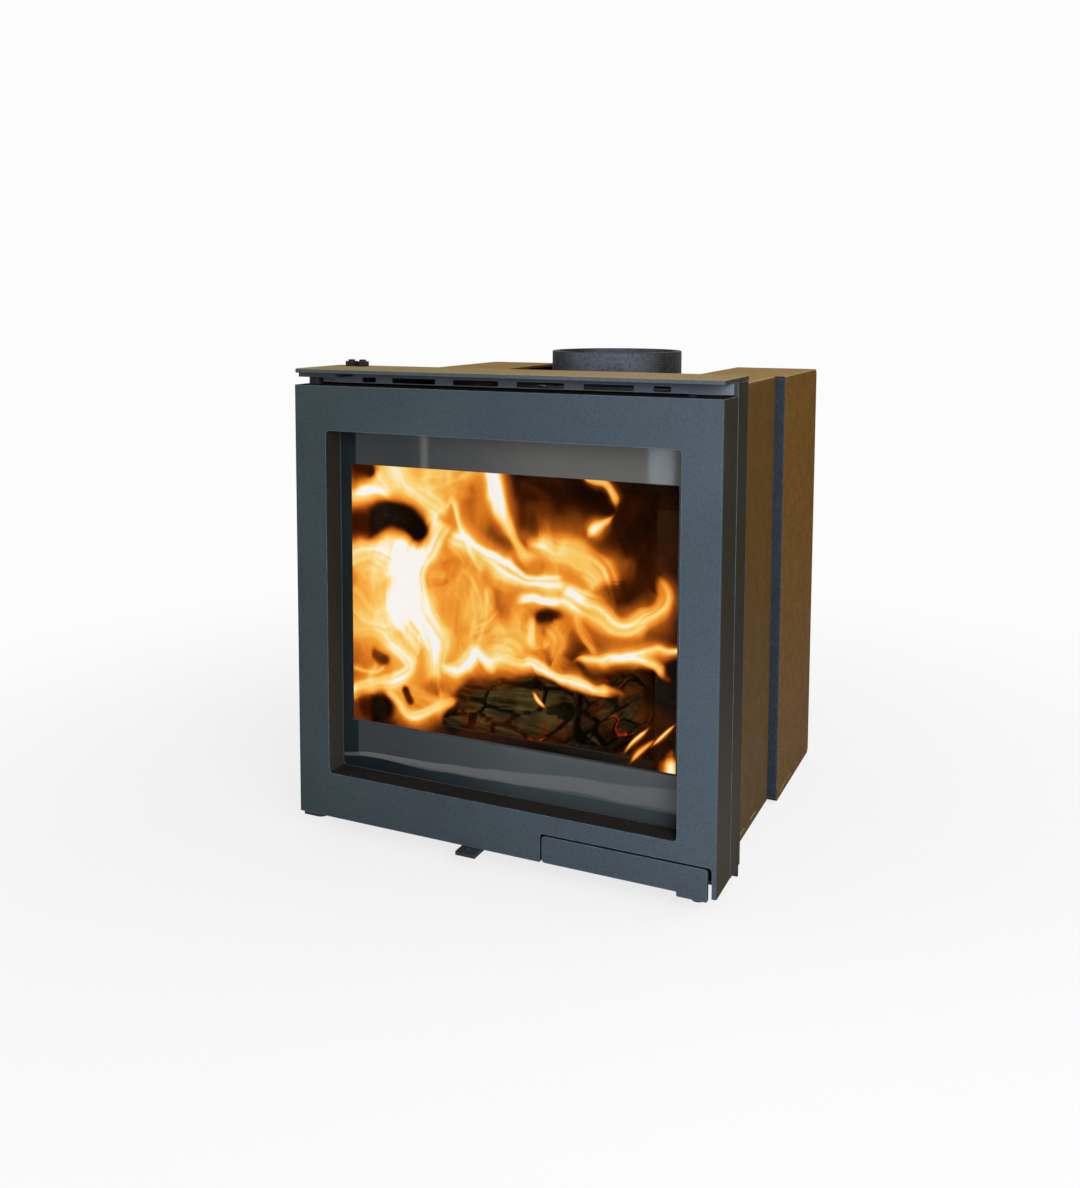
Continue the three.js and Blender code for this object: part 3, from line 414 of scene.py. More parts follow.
def clear_glass(name):
    """Clear door glass with a slight haze in patches."""
    material, s, surface = finish_of(name)
    place = s.place()
    haze = s.noise(place, 9.0, 4.0, 0.6, 0.5)
    surface["Transmission Weight"].default_value = 1.0
    surface["Metallic"].default_value = 0.0
    surface["IOR"].default_value = 1.05
    s.put(surface["Base Color"], s.ramp(haze, [(0.3, (0.93, 0.95, 0.95)), (0.75, (1.0, 0.99, 0.97))]))
    s.put(surface["Roughness"], s.span(haze, 0.45, 0.8, 0.0, 0.025))
    return material


def glass_enamel_finish(name):
    """The dark border printed on the door glass, under a pale painted reflection that thickens to the right.

    Along its lower band runs a pale wavy streak of painted reflection, broader and fainter to the right."""
    material, s, surface = finish_of(name, shine=0.35)
    place = s.place()
    x, _, z = s.split(place)
    haze = s.noise(place, 7.0, 4.0, 0.55, 0.7)
    across = s.span(x, window_left, window_right, smooth=False)
    painted_reflection = s.math("MULTIPLY", s.span(s.math("MULTIPLY_ADD", haze, 0.35, across), 0.28, 0.84), 0.97)
    # Painted reflection: paler and warmer towards the bottom.
    low = s.span(z, window_bottom + 40 * MM, window_bottom + 80 * MM, 1.0, 0.0)
    pale = s.mix(low, (0.09, 0.088, 0.08, 1.0), (0.047, 0.06, 0.064, 1.0))
    dark = s.ramp(haze, [(0.3, (0.011, 0.017, 0.02)), (0.7, (0.017, 0.025, 0.028))])
    reflected = s.mix(painted_reflection, dark, pale)
    # Painted reflection: a pale wavy streak along the lower band.
    middle = s.math("MULTIPLY_ADD", across, 16 * MM, window_bottom + 13 * MM)
    wave = s.math("MULTIPLY_ADD", s.noise(place, 9.0, 2.0, 0.4), 14 * MM, -7 * MM)
    off = s.math("ABSOLUTE", s.math("SUBTRACT", z, s.math("ADD", middle, wave)))
    reach = s.math("MULTIPLY_ADD", across, 10 * MM, 2 * MM)
    streak = s.span(s.math("DIVIDE", off, reach), 0.75, 1.1, 1.0, 0.0)
    reflected_streak = s.math("MULTIPLY", streak, s.math("MULTIPLY_ADD", across, -0.35, 0.85))
    s.put(surface["Base Color"], s.mix(reflected_streak, reflected, (0.14, 0.14, 0.138, 1.0)))
    s.put(surface["Roughness"], s.span(haze, 0.35, 0.75, 0.03, 0.09))
    return material


# The painted sheets are one dark coat, and their tones are painted light. Forward faces are cool and get
# brighter to the right. Sides and backs are warm brown, the plate's top is tan, and the band is lit up as
# painted light in the shade under the plate.
stove_paint = painted_sheet(
    "stove_paint",
    ((0.05, 0.067, 0.074), (0.066, 0.086, 0.107), (0.028, 0.025, 0.018), (0.022, 0.021, 0.019)),
    roughness=0.46, edge_wear_highlight=0.9, dust=0.02, grain=0.3,
)
plate_paint_lit = painted_sheet(
    "plate_paint_lit",
    ((0.075, 0.09, 0.1), (0.085, 0.105, 0.125), (0.04, 0.038, 0.034), (0.41, 0.295, 0.14)),
    roughness=0.46, edge_wear_highlight=0.3, dust=0.15, grain=0.4,
)
band_paint_lit = painted_sheet(
    "band_paint_lit",
    ((0.19, 0.21, 0.235), (0.2, 0.235, 0.285), (0.05, 0.046, 0.038), (0.09, 0.09, 0.09)),
    roughness=0.46, edge_wear_highlight=0.4, dust=0.1, grain=0.2,
)
jacket_paint_lit = painted_sheet(
    "jacket_paint_lit",
    ((0.032, 0.044, 0.06), (0.034, 0.046, 0.064), (0.124, 0.062, 0.017), (0.42, 0.2, 0.02)),
    roughness=0.5, edge_wear_highlight=0.15, dust=0.05, grain=0.8, patches=(55.0, 0.08),
)
casing_paint = painted_sheet(
    "casing_paint",
    ((0.032, 0.04, 0.05), (0.036, 0.044, 0.055), (0.088, 0.048, 0.015), (0.42, 0.26, 0.1)),
    roughness=0.5, edge_wear_highlight=0.15, dust=0.05, grain=0.9, patches=(55.0, 0.08),
)
black_steel = plain_steel("black_steel", (0.036, 0.043, 0.05), 0.5, 0.0)
plated_steel = plain_steel("plated_steel", (0.02, 0.021, 0.021), 0.45, 0.2, 300.0, 0.12)
# The cast iron's tones are painted light: bluish where it faces forward, near black at the sides.
cast_iron = rough_casting(
    "cast_iron", (0.105, 0.12, 0.148), (0.015, 0.014, 0.012), (0.03, 0.03, 0.028), fleck=(0.16, 0.17, 0.19)
)
sooty_iron = rough_casting(
    "sooty_iron", (0.012, 0.009, 0.006), (0.01, 0.008, 0.006), (0.02, 0.014, 0.008), fleck=(0.04, 0.03, 0.02)
)
fire_brick = sooty_brick("fire_brick")
rope_seal = woven_rope("rope_seal")
door_glass = clear_glass("door_glass")
glass_enamel = glass_enamel_finish("glass_enamel")

finishes = {
    "stove_paint": stove_paint,
    "casing_paint": casing_paint,
    "dark_steel": black_steel,
    "zinc_steel": plated_steel,
    "cast_iron": cast_iron,
    "fire_brick": fire_brick,
    "rope_seal": rope_seal,
    "door_glass": door_glass,
}
finish_of_node = {
    "top_cover_plate": plate_paint_lit,
    "outlet_band": band_paint_lit,
    "jacket_left": jacket_paint_lit,
    "jacket_right": jacket_paint_lit,
    "jacket_back": jacket_paint_lit,
    "log_guard": sooty_iron,
    "grate": sooty_iron,
}
slot_of_node = {row["node"]: row["material_slot"] for row in frame["record"]["subparts"]}

# How far each solid's edges are softened; bricks and the rest take the radii below.
soft_edges = {
    "door_frame": 1.1 * MM,
    "handle_flap": 0.9 * MM,
    "flue_collar": 1.2 * MM,
    "front_frame": 0.6 * MM,
    "glass_pane": 0.3 * MM,
    "grate": 1.0 * MM,
}
common_edge = 0.5 * MM
brick_edge = 1.6 * MM
crease = math.radians(32)  # an edge sharper than this is softened


def soften(obj, radius):
    """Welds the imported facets, then rounds the sharp edges without touching the solid itself."""
    for polygon in obj.data.polygons:
        polygon.use_smooth = True
    weld = obj.modifiers.new("weld", "WELD")
    weld.merge_threshold = 0.01 * MM
    flat = obj.modifiers.new("flat_faces", "DECIMATE")
    flat.decimate_type = "DISSOLVE"
    flat.angle_limit = math.radians(0.5)
    edge = obj.modifiers.new("soft_edge", "BEVEL")
    edge.width = radius
    edge.segments = 2
    edge.limit_method = "ANGLE"
    edge.angle_limit = crease
    edge.use_clamp_overlap = True
    shade = obj.modifiers.new("shade", "WEIGHTED_NORMAL")
    shade.weight = 100
    shade.keep_sharp = False


for node, obj in frame["nodes"].items():
    slot = slot_of_node[node]
    obj.data.materials.clear()
    obj.data.materials.append(finish_of_node.get(node, finishes[slot]))
    radius = soft_edges.get(node, brick_edge if slot == "fire_brick" else common_edge)
    soften(obj, radius)


# ---------------------------------------------------------------- mesh helpers
def mesh_object(name, vertices, faces, material, smooth=True):
    """A new object of the scene in one material."""
    mesh = bpy.data.meshes.new(name)
    mesh.from_pydata(vertices, [], faces)
    mesh.validate()
    for polygon in mesh.polygons:
        polygon.use_smooth = smooth
    mesh.materials.append(material)
    obj = bpy.data.objects.new(name, mesh)
    scene.collection.objects.link(obj)
    return obj


def keep(obj, **values):
    """Keeps named values at the mesh's points for its finish to read."""
    for name, numbers in values.items():
        obj.data.attributes.new(name, "FLOAT", "POINT").data.foreach_set("value", numbers)


def rounded_rectangle(left, right, low, high, radius, steps=6):
    """Points of a rectangle with rounded corners, anticlockwise in X and Z."""
    points = []
    corners = ((right, high, 0), (left, high, 90), (left, low, 180), (right, low, 270))
    for x, z, start in corners:
        cx = x - math.copysign(radius, x - (left + right) / 2)
        cz = z - math.copysign(radius, z - (low + high) / 2)
        for i in range(steps + 1):
            a = math.radians(start + 90 * i / steps)
            points.append((cx + radius * math.cos(a), cz + radius * math.sin(a)))
    return points


def grid_faces(rows, columns, closed=False):
    """Quads of a grid of points kept row by row; closed joins its last column to its first."""
    faces = []
    for i in range(rows - 1):
        here, beyond = i * columns, (i + 1) * columns
        for j in range(columns if closed else columns - 1):
            k = (j + 1) % columns
            faces.append((here + j, here + k, beyond + k, beyond + j))
    return faces


def flat_ring(name, outer, inner, front, back, material):
    """A ring between two outlines with as many points each, from Y front to Y back."""
    n = len(outer)
    vertices = [(x, y, z) for y in (front, back) for loop in (outer, inner) for x, z in loop]
    faces = []
    for i in range(n):
        j = (i + 1) % n
        faces.append((i, j, n + j, n + i))
        faces.append((2 * n + j, 2 * n + i, 3 * n + i, 3 * n + j))
        faces.append((j, i, 2 * n + i, 2 * n + j))
        faces.append((n + i, n + j, 3 * n + j, 3 * n + i))
    return mesh_object(name, vertices, faces, material, smooth=False)


# ---------------------------------------------------------------- border and edge bead on the door glass
# How broad the border is at each side, from the window's edge to the clear glass.
border_left, border_right = 14 * MM, 10.5 * MM
border_bottom, border_top = 56.5 * MM, 40.5 * MM
clear_left = window_left + border_left
clear_right = window_right - border_right
clear_bottom = window_bottom + border_bottom
clear_top = window_top - border_top
border_gap = 0.1 * MM  # between the border and the window's edge
enamel_front = glass_low.y - 0.25 * MM
enamel_back = glass_low.y - 0.05 * MM
outer_edge = rounded_rectangle(
    window_left + border_gap,
    window_right - border_gap,
    window_bottom + border_gap,
    window_top - border_gap,
    5 * MM,
)
clear_edge = rounded_rectangle(clear_left, clear_right, clear_bottom, clear_top, 4 * MM)
enamel = flat_ring("glass_border", outer_edge, clear_edge, enamel_front, enamel_back, glass_enamel)
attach(enamel, "door")


def edge_bead():
    """The thin dark bead that closes the clear area along its lower edge."""
    sides, half, rise = 8, 1.1 * MM, 0.6 * MM
    front, z = enamel_front - 0.15 * MM, clear_bottom - 0.4 * MM
    vertices = []
    for x in (clear_left - 2 * MM, clear_right + 1 * MM):
        for j in range(sides):
            a = math.radians(180 * j / (sides - 1) + 180)
            vertices.append((x, front + rise * math.sin(a), z + half * math.cos(a)))
    last = sides - 1
    faces = [(j, j + 1, sides + j + 1, sides + j) for j in range(last)]
    faces += [(0, sides, sides + last, last), tuple(range(sides)), tuple(reversed(range(sides, 2 * sides)))]
    bead = mesh_object("glass_edge_bead", vertices, faces, black_steel)
    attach(bead, "door")


edge_bead()


# ---------------------------------------------------------------- camera
eye = Vector((0.55705, -1.3941, 0.61805))
turned_left, tipped_down = 0.4533, 0.0879  # radians
camera_data = bpy.data.cameras.new("camera")
camera = bpy.data.objects.new("camera", camera_data)
scene.collection.objects.link(camera)
camera.location = eye
camera.rotation_euler = (math.pi / 2 - tipped_down, 0.0, turned_left)
camera_data.sensor_width = 36.0
camera_data.lens = 36.86
camera_data.shift_x = 0.04297
camera_data.shift_y = -0.1542
scene.camera = camera


# ---------------------------------------------------------------- fire
# Each flame is a run of points as it shows through the clear glass, in mm from the glass's lower left corner:
# across, up, half width there, and heat there from 0, dark, to 1, white hot.
flames = {
    "main_column": (
        (105, 50, 9, 0.85), (108, 77, 14, 0.95), (102, 111, 17, 1.0), (84, 140, 29, 1.0),
        (80, 168, 28, 1.0), (87, 200, 24, 1.0), (105, 230, 19, 1.0), (112, 246, 15, 0.9),
    ),
    "column_crest": ((111, 237, 20, 0.9), (84, 263, 20, 0.75), (58, 280, 19, 0.7), (36, 312, 17, 0.6)),
    "top_haze": ((20, 292, 20, 0.5), (75, 286, 25, 0.58), (124, 292, 25, 0.55), (170, 312, 18, 0.45)),
    "left_lobe": (
        (-14, 262, 11, 0.75), (25, 275, 11, 1.0), (42, 272, 9, 0.85), (65, 254, 7, 0.62),
        (91, 237, 11, 0.8),
    ),
    "left_mass": ((-16, 184, 23, 0.65), (25, 201, 26, 0.75), (52, 191, 28, 0.8), (65, 167, 28, 0.85)),
    "left_mass_low": ((-16, 150, 28, 0.55), (25, 130, 26, 0.6), (52, 133, 23, 0.78), (71, 117, 15, 0.8)),
    "left_veil": ((-14, 108, 18, 0.4), (32, 102, 16, 0.6), (58, 83, 15, 0.6), (81, 64, 13, 0.55)),
    "ridge": (
        (123, 232, 10, 0.95), (150, 223, 9, 0.95), (176, 208, 9, 1.0), (195, 193, 10, 1.0),
        (221, 188, 9, 1.0), (248, 192, 8, 1.0), (269, 198, 6, 0.95),
    ),
    "thin_strand": (
        (120, 272, 3, 0.65), (136, 245, 4, 0.78), (146, 224, 5.5, 0.85), (156, 200, 3.5, 0.65),
        (176, 187, 3, 0.5),
    ),
    "tall_strand": (
        (178, 322, 10, 0.98), (184, 280, 9.5, 0.98), (194, 259, 8, 0.9), (205, 241, 6.5, 0.8),
        (215, 224, 6.5, 0.75), (231, 207, 7.5, 0.8),
    ),
    "right_shoulder": (
        (221, 236, 9, 0.7), (248, 220, 12, 0.82), (274, 217, 13, 0.8), (293, 200, 12.5, 0.75),
        (303, 178, 11, 0.72),
    ),
    "right_hook": (
        (254, 188, 11, 0.9), (274, 175, 12.5, 1.0), (297, 162, 9, 0.85), (320, 151, 8, 0.88),
        (342, 158, 9, 0.85), (362, 172, 7.5, 0.8), (372, 184, 6.5, 0.7), (363, 198, 3, 0.5),
    ),
    "bar": ((202, 161, 4.5, 0.85), (231, 165, 5, 0.98), (264, 174, 6, 0.98)),
    "centre_glow": ((123, 185, 30, 0.48), (150, 160, 40, 0.52), (153, 123, 36, 0.5), (195, 149, 31, 0.5)),
    "centre_strand": (
        (174, 178, 3.5, 0.6), (167, 149, 3.5, 0.52), (167, 122, 3.5, 0.52), (163, 106, 4.5, 0.62),
    ),
    "bay_edge": ((228, 152, 3.5, 0.75), (225, 128, 3.5, 0.85), (223, 110, 4.5, 0.9)),
    "log_flame_left": (
        (112, 67, 6.5, 0.8), (133, 73, 7, 0.88), (153, 92, 8, 0.95), (161, 101, 6.5, 1.0),
        (172, 91, 8, 0.9), (189, 87, 6.5, 0.75),
    ),
    "log_flame": (
        (169, 97, 10, 0.6), (189, 103, 14, 0.72), (212, 99, 11, 0.82), (225, 102, 6.5, 0.98),
        (241, 92, 5, 0.98), (258, 82, 5, 0.98), (280, 76, 5, 0.98), (303, 78, 4.5, 0.9), (326, 80, 4.5, 0.98),
    ),
    "bay": ((176, 116, 16, 0.58), (202, 119, 19, 0.62), (218, 106, 10, 0.7)),
    "right_glow": ((241, 135, 16, 0.52), (254, 119, 19, 0.56), (244, 106, 13, 0.5)),
    "right_strands": (
        (274, 163, 4.5, 0.72), (283, 140, 4.5, 0.66), (297, 121, 4.5, 0.6), (308, 107, 4.5, 0.6),
    ),
    "right_log_flame": ((280, 97, 3, 0.7), (310, 110, 4, 0.9), (342, 123, 4.5, 0.9), (408, 140, 3, 0.8)),
    "right_log_low": (
        (313, 106, 6, 0.75), (336, 116, 7, 0.92), (359, 113, 5.5, 0.82), (380, 99, 4.5, 0.7),
    ),
    "low_cross": (
        (-14, 26, 6.5, 0.85), (25, 46, 8, 0.92), (52, 54, 9, 0.98), (68, 69, 6.5, 0.8),
        (55, 86, 6.5, 0.7), (38, 100, 6, 0.65),
    ),
    "low_cross_thin": ((-12, 64, 4.5, 0.7), (22, 60, 3.5, 0.6), (45, 75, 4.5, 0.65)),
    "low_sweep": (
        (35, 42, 4.5, 0.7), (58, 30, 5, 0.82), (74, 16, 6.5, 0.88), (104, 27, 4.5, 0.88),
        (136, 43, 3, 0.7),
    ),
    "low_left_strand": ((16, 36, 3.5, 0.6), (22, 60, 3.5, 0.62), (29, 80, 3.5, 0.6)),
    "low_centre": ((65, 50, 4.5, 0.6), (81, 42, 9, 0.5), (111, 34, 7, 0.5), (114, 53, 6, 0.65)),
    "hanging_strand": ((284, 312, 3, 0.5), (298, 299, 3, 0.62), (311, 286, 3, 0.72), (319, 266, 2, 0.6)),
    "twig": ((285, 238, 1.6, 0.7), (295, 250, 3.2, 0.86), (318, 262, 1.6, 0.5)),
    "upper_veil": ((205, 293, 18, 0.16), (248, 275, 24, 0.13), (221, 249, 16, 0.18)),
    "streak_a": ((330, 10, 1.0, 0.6), (345, 27, 1.3, 0.85), (360, 46, 0.9, 0.6)),
    "streak_b": ((338, 2, 1.0, 0.6), (352, 17, 1.4, 0.85), (368, 36, 0.9, 0.6)),
    "streak_c": ((362, 24, 0.9, 0.6), (374, 39, 1.3, 0.82), (388, 54, 0.9, 0.55)),
    "ember_block": ((382, 18, 5, 0.92), (385, -16, 5, 0.92)),
    "ember_crack": ((228, 63, 1.2, 0.6), (235, 54, 1.8, 0.8), (245, 46, 1.2, 0.6)),
}
# Dark places between the flames, in the same terms: the last number is how much of the heat goes.
hollows = {
    "smoke_pocket": (
        (-8, 226, 15, 1.0), (7, 230, 17, 1.0), (35, 246, 19, 1.0), (65, 244, 20, 1.0), (83, 230, 15, 1.0),
    ),
    "top_corner": ((4, 296, 11, 1.0), (25, 298, 9, 1.0)),
    "low_corner": ((16, 14, 15, 1.0), (38, 20, 13, 1.0)),
    "low_gap": ((38, 75, 7, 0.6), (25, 82, 5, 0.5)),
    "hook_gap": ((248, 153, 10, 0.7), (238, 147, 9, 0.7)),
    "sweep_gap": ((68, 43, 5, 0.8), (74, 32, 5, 0.7)),
}
# Where a log stands before the glow, in the same terms: the last number is how much of the glow it hides.
log_shades = {
    "front_log": (
        (128, 14, 14, 0.9), (160, 48, 22, 0.95), (215, 58, 30, 1.0), (262, 44, 28, 1.0),
        (315, 38, 30, 1.0),
    ),
    "right_log": ((322, 66, 22, 0.95), (350, 84, 20, 0.95), (395, 96, 24, 0.95)),
}
# The glow that fills the firebox between the flames: across, up, reach and heat.
glows = (
    (50, 205, 82, 0.58), (50, 120, 62, 0.53), (100, 115, 48, 0.49), (150, 165, 64, 0.49),
    (165, 122, 42, 0.48), (215, 140, 38, 0.44), (258, 126, 28, 0.34), (105, 290, 76, 0.52),
    (250, 206, 44, 0.54), (30, 50, 40, 0.3), (120, 60, 34, 0.34), (345, 225, 90, 0.13),
    (322, 208, 32, 0.22), (350, 70, 80, 0.12),
)
glass_width = (clear_right - clear_left) / MM
glass_height = (clear_top - clear_bottom) / MM
flame_pitch = 1.15  # mm between the sheet's points
side_overlap = 5  # mm that the sheet runs on behind the border at the sides
end_overlap = 24  # mm that it runs on above and below, fading out
body_reach, halo_reach = 1.5, 2.35  # half widths to which a flame and its halo reach
flame_gain, halo_gain, glow_limit = 0.94, 0.43, 0.66
# The sheet stands this far behind the glass, in metres: at its edges, further in at the right, where the
# firebox mouth is narrower than the clear glass, and further in at its middle, where hot flames come forward.
edge_depth = 12 * MM
mouth_depth = 6 * MM
middle_depth = 42 * MM
hot_forward = 20 * MM


def lattice_noise(x, y, seed):
    """Smooth noise from -1 to 1 at each point of the arrays x and y."""
    size = 64
    values = np.random.default_rng(seed).uniform(-1, 1, (size, size))
    left, low = np.floor(x).astype(int), np.floor(y).astype(int)
    fx, fy = x - left, y - low
    fx, fy = fx * fx * (3 - 2 * fx), fy * fy * (3 - 2 * fy)
    a, b = left % size, (left + 1) % size
    c, d = low % size, (low + 1) % size
    bottom = values[a, c] * (1 - fx) + values[b, c] * fx
    top = values[a, d] * (1 - fx) + values[b, d] * fx
    return bottom * (1 - fy) + top * fy


def smooth(value, low, high):
    """Rises softly from 0 at low to 1 at high."""
    t = np.clip((value - low) / (high - low), 0, 1)
    return t * t * (3 - 2 * t)


def curve_through(points, steps=7):
    """Points of a Catmull-Rom curve through the given rows."""
    rows = np.array(points, float)
    rows = np.vstack((2 * rows[0] - rows[1], rows, 2 * rows[-1] - rows[-2]))
    made = []
    for a, b, c, d in zip(rows, rows[1:], rows[2:], rows[3:]):
        for t in np.linspace(0, 1, steps, endpoint=False):
            square, cubic = 2 * a - 5 * b + 4 * c - d, 3 * b - a - 3 * c + d
            made.append(0.5 * (2 * b + (c - a) * t + square * t**2 + cubic * t**3))
    made.append(rows[-2])
    return np.array(made)


def nearest_on(points, x, y, lee=0):
    """How far each place is from a run in half widths, its heat there, its side and its distance along.

    lee, -1 or 1, is the side on which the run trails off softly."""
    run = curve_through(points)
    best = np.full(x.shape, 1e9)
    heat, side, along = np.zeros(x.shape), np.zeros(x.shape), np.zeros(x.shape)
    travelled = 0.0
    for start, end in zip(run, run[1:]):
        step = end[:2] - start[:2]
        length = max(float(np.hypot(*step)), 1e-6)
        t = np.clip(((x - start[0]) * step[0] + (y - start[1]) * step[1]) / length**2, 0, 1)
        dx, dy = x - start[0] - t * step[0], y - start[1] - t * step[1]
        width = np.maximum(start[2] + t * (end[2] - start[2]), 0.5)
        offset = (dx * step[1] - dy * step[0]) / length
        ratio = np.hypot(dx, dy) / width * np.where(offset * lee > 0, 0.62, 1.0)
        nearer = ratio < best
        best = np.where(nearer, ratio, best)
        heat = np.where(nearer, start[3] + t * (end[3] - start[3]), heat)
        side = np.where(nearer, offset, side)
        along = np.where(nearer, travelled + t * length, along)
        travelled += length
    tip = np.minimum(along, travelled - along)
    taper = 0.3 + 0.7 * smooth(tip, 0, min(14, 0.3 * travelled)) if lee else 1.0
    return best, heat * taper, side, along


def heat_at(across, up):
    """Heat of the fire at each place behind the glass.

    Flames with soft halos and fine strands stand over a glow. Logs hide the glow, hollows take heat away."""
    sway = 0.25 + 0.75 * smooth(up, 25, 90)
    broad, fine = lattice_noise(across / 24, up / 36, 1), lattice_noise(across / 9, up / 15, 2)
    x = across + sway * (6 * broad + 1.4 * fine)
    broad, fine = lattice_noise(across / 28, up / 34, 3), lattice_noise(across / 10, up / 13, 4)
    y = up + sway * (7 * broad + 1.4 * fine)
    bodies, halos = np.zeros(x.shape), np.zeros(x.shape)
    for number, points in enumerate(flames.values()):
        ratio, heat, side, along = nearest_on(points, x, y, lee=1 if number % 2 else -1)
        ratio = ratio * (1 + 0.22 * lattice_noise(along / 17, side / 30, 100 + number))
        body = np.clip(1 - (ratio / body_reach) ** 2, 0, 1) ** 1.5
        strands = lattice_noise(side / 5 + 9, along / 45, 20 + number)
        strands = strands + 0.5 * lattice_noise(side / 2.2, along / 30, 60 + number)
        bodies += np.clip(flame_gain * heat * body * (1 + 0.26 * strands), 0, 1.05) ** 3
        halos += (heat * np.exp(-((ratio / halo_reach) ** 2))) ** 2
    curls = lattice_noise(x / 11, y / 21, 7) + 0.5 * lattice_noise(x / 5, y / 9, 8)
    ambient = np.zeros(x.shape)
    for place_x, place_y, reach, heat in glows:
        far = ((x - place_x) ** 2 + (0.8 * (y - place_y)) ** 2) / reach**2
        ambient = np.maximum(ambient, flame_gain * heat * np.exp(-far) * (1 + 0.2 * curls))
    halo = halo_gain * np.sqrt(halos)
    soft = np.maximum(halo, ambient) + 0.2 * np.minimum(halo, ambient)
    for points in log_shades.values():
        ratio, depth, _, _ = nearest_on(points, x, y)
        soft *= 1 - depth * (1 - smooth(ratio, 0.5, 1.3))
    total = (bodies + np.clip(soft, 0, glow_limit) ** 3) ** (1 / 3)
    for points in hollows.values():
        ratio, depth, _, _ = nearest_on(points, x, y)
        total *= 1 - depth * (1 - smooth(ratio, 0.35, 1.6))
    return np.clip(total * (1 + 0.05 * curls), 0, 1.05)


def behind_glass(across, up, depth):
    """The place that shows through the clear glass at (across, up) mm, depth metres behind the pane."""
    at_glass = Vector((clear_left + across * MM, glass_high.y, clear_bottom + up * MM))
    sight = at_glass - eye
    return at_glass + sight * (depth / sight.y)


def flame_sheet(name, heat, cover, across, up, depth, finish):
    """A curved sheet of fire: a grid that keeps its heat and its dark cover, left open where there is
    neither.
    """
    rows, columns = heat.shape
    index = -np.ones(heat.shape, int)
    vertices, faces, kept, smoke = [], [], [], []
    alive = (heat > 0.06) | (cover > 0.02)
    for i in range(rows - 1):
        for j in range(columns - 1):
            corners = ((i, j), (i, j + 1), (i + 1, j + 1), (i + 1, j))
            if not any(alive[c] for c in corners):
                continue
            for c in corners:
                if index[c] < 0:
                    index[c] = len(vertices)
                    vertices.append(behind_glass(across[c], up[c], depth[c]))
                    kept.append(min(1.0, heat[c]))
                    smoke.append(cover[c])
            faces.append(tuple(int(index[c]) for c in corners))
    sheet = mesh_object(name, vertices, faces, finish)
    keep(sheet, burn=kept, smoke=smoke)
    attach(sheet, "root")


fire_colours = [
    (0.0, (0.04, 0.006, 0.0)), (0.16, (0.19, 0.034, 0.003)), (0.32, (0.5, 0.115, 0.008)),
    (0.46, (0.82, 0.235, 0.018)), (0.6, (0.96, 0.4, 0.05)), (0.74, (0.98, 0.61, 0.14)),
    (0.86, (1.0, 0.76, 0.34)), (0.94, (1.0, 0.88, 0.64)), (1.0, (0.96, 0.92, 0.9)),
]


def burning_gas(name):
    """Fire that glows by its heat and hides what lies behind it by its heat or by its dark cover."""
    material, s, surface = finish_of(name, shine=0.0)
    heat = s.kept("burn")
    colour = s.ramp(heat, fire_colours)
    surface["Base Color"].default_value = (0.0, 0.0, 0.0, 1.0)
    surface["Roughness"].default_value = 1.0
    s.put(surface["Emission Color"], colour)
    surface["Emission Strength"].default_value = 1.0
    s.put(surface["Alpha"], s.math("MAXIMUM", s.span(heat, 0.03, 0.42), s.kept("smoke")))
    return material


def make_flames():
    """The one sheet that shows all the fire behind the clear glass."""
    columns = np.arange(-side_overlap, glass_width + side_overlap, flame_pitch)
    rows = np.arange(-end_overlap, glass_height + end_overlap, flame_pitch)
    across, up = np.meshgrid(columns, rows)
    fade = smooth(up, -end_overlap, 0) * smooth(glass_height - up, -end_overlap, 0)
    heat = fade * heat_at(across, up)
    room = smooth(across, 40, 110) * smooth(glass_width - across, 32, 78) * smooth(up, 8, 60)
    room = room * smooth(glass_height - up, 0, 30)
    cover = fade * smooth(-across, -26, -16)  # a dark cover before the frame's edge at the left
    mouth = mouth_depth * smooth(across, 60, 200)
    depth = edge_depth + mouth + room * (middle_depth - hot_forward * np.clip(heat, 0, 1))
    flame_sheet("flames", heat, cover, across, up, depth, burning_gas("burning_gas"))


make_flames()


# ---------------------------------------------------------------- logs and ember bed
ash_grey = (0.34, 0.31, 0.27, 1.0)
ember_colours = [
    (0.0, (0, 0, 0)), (0.3, (0.35, 0.02, 0.001)), (0.7, (1.0, 0.22, 0.01)), (1.0, (1.0, 0.6, 0.12)),
]


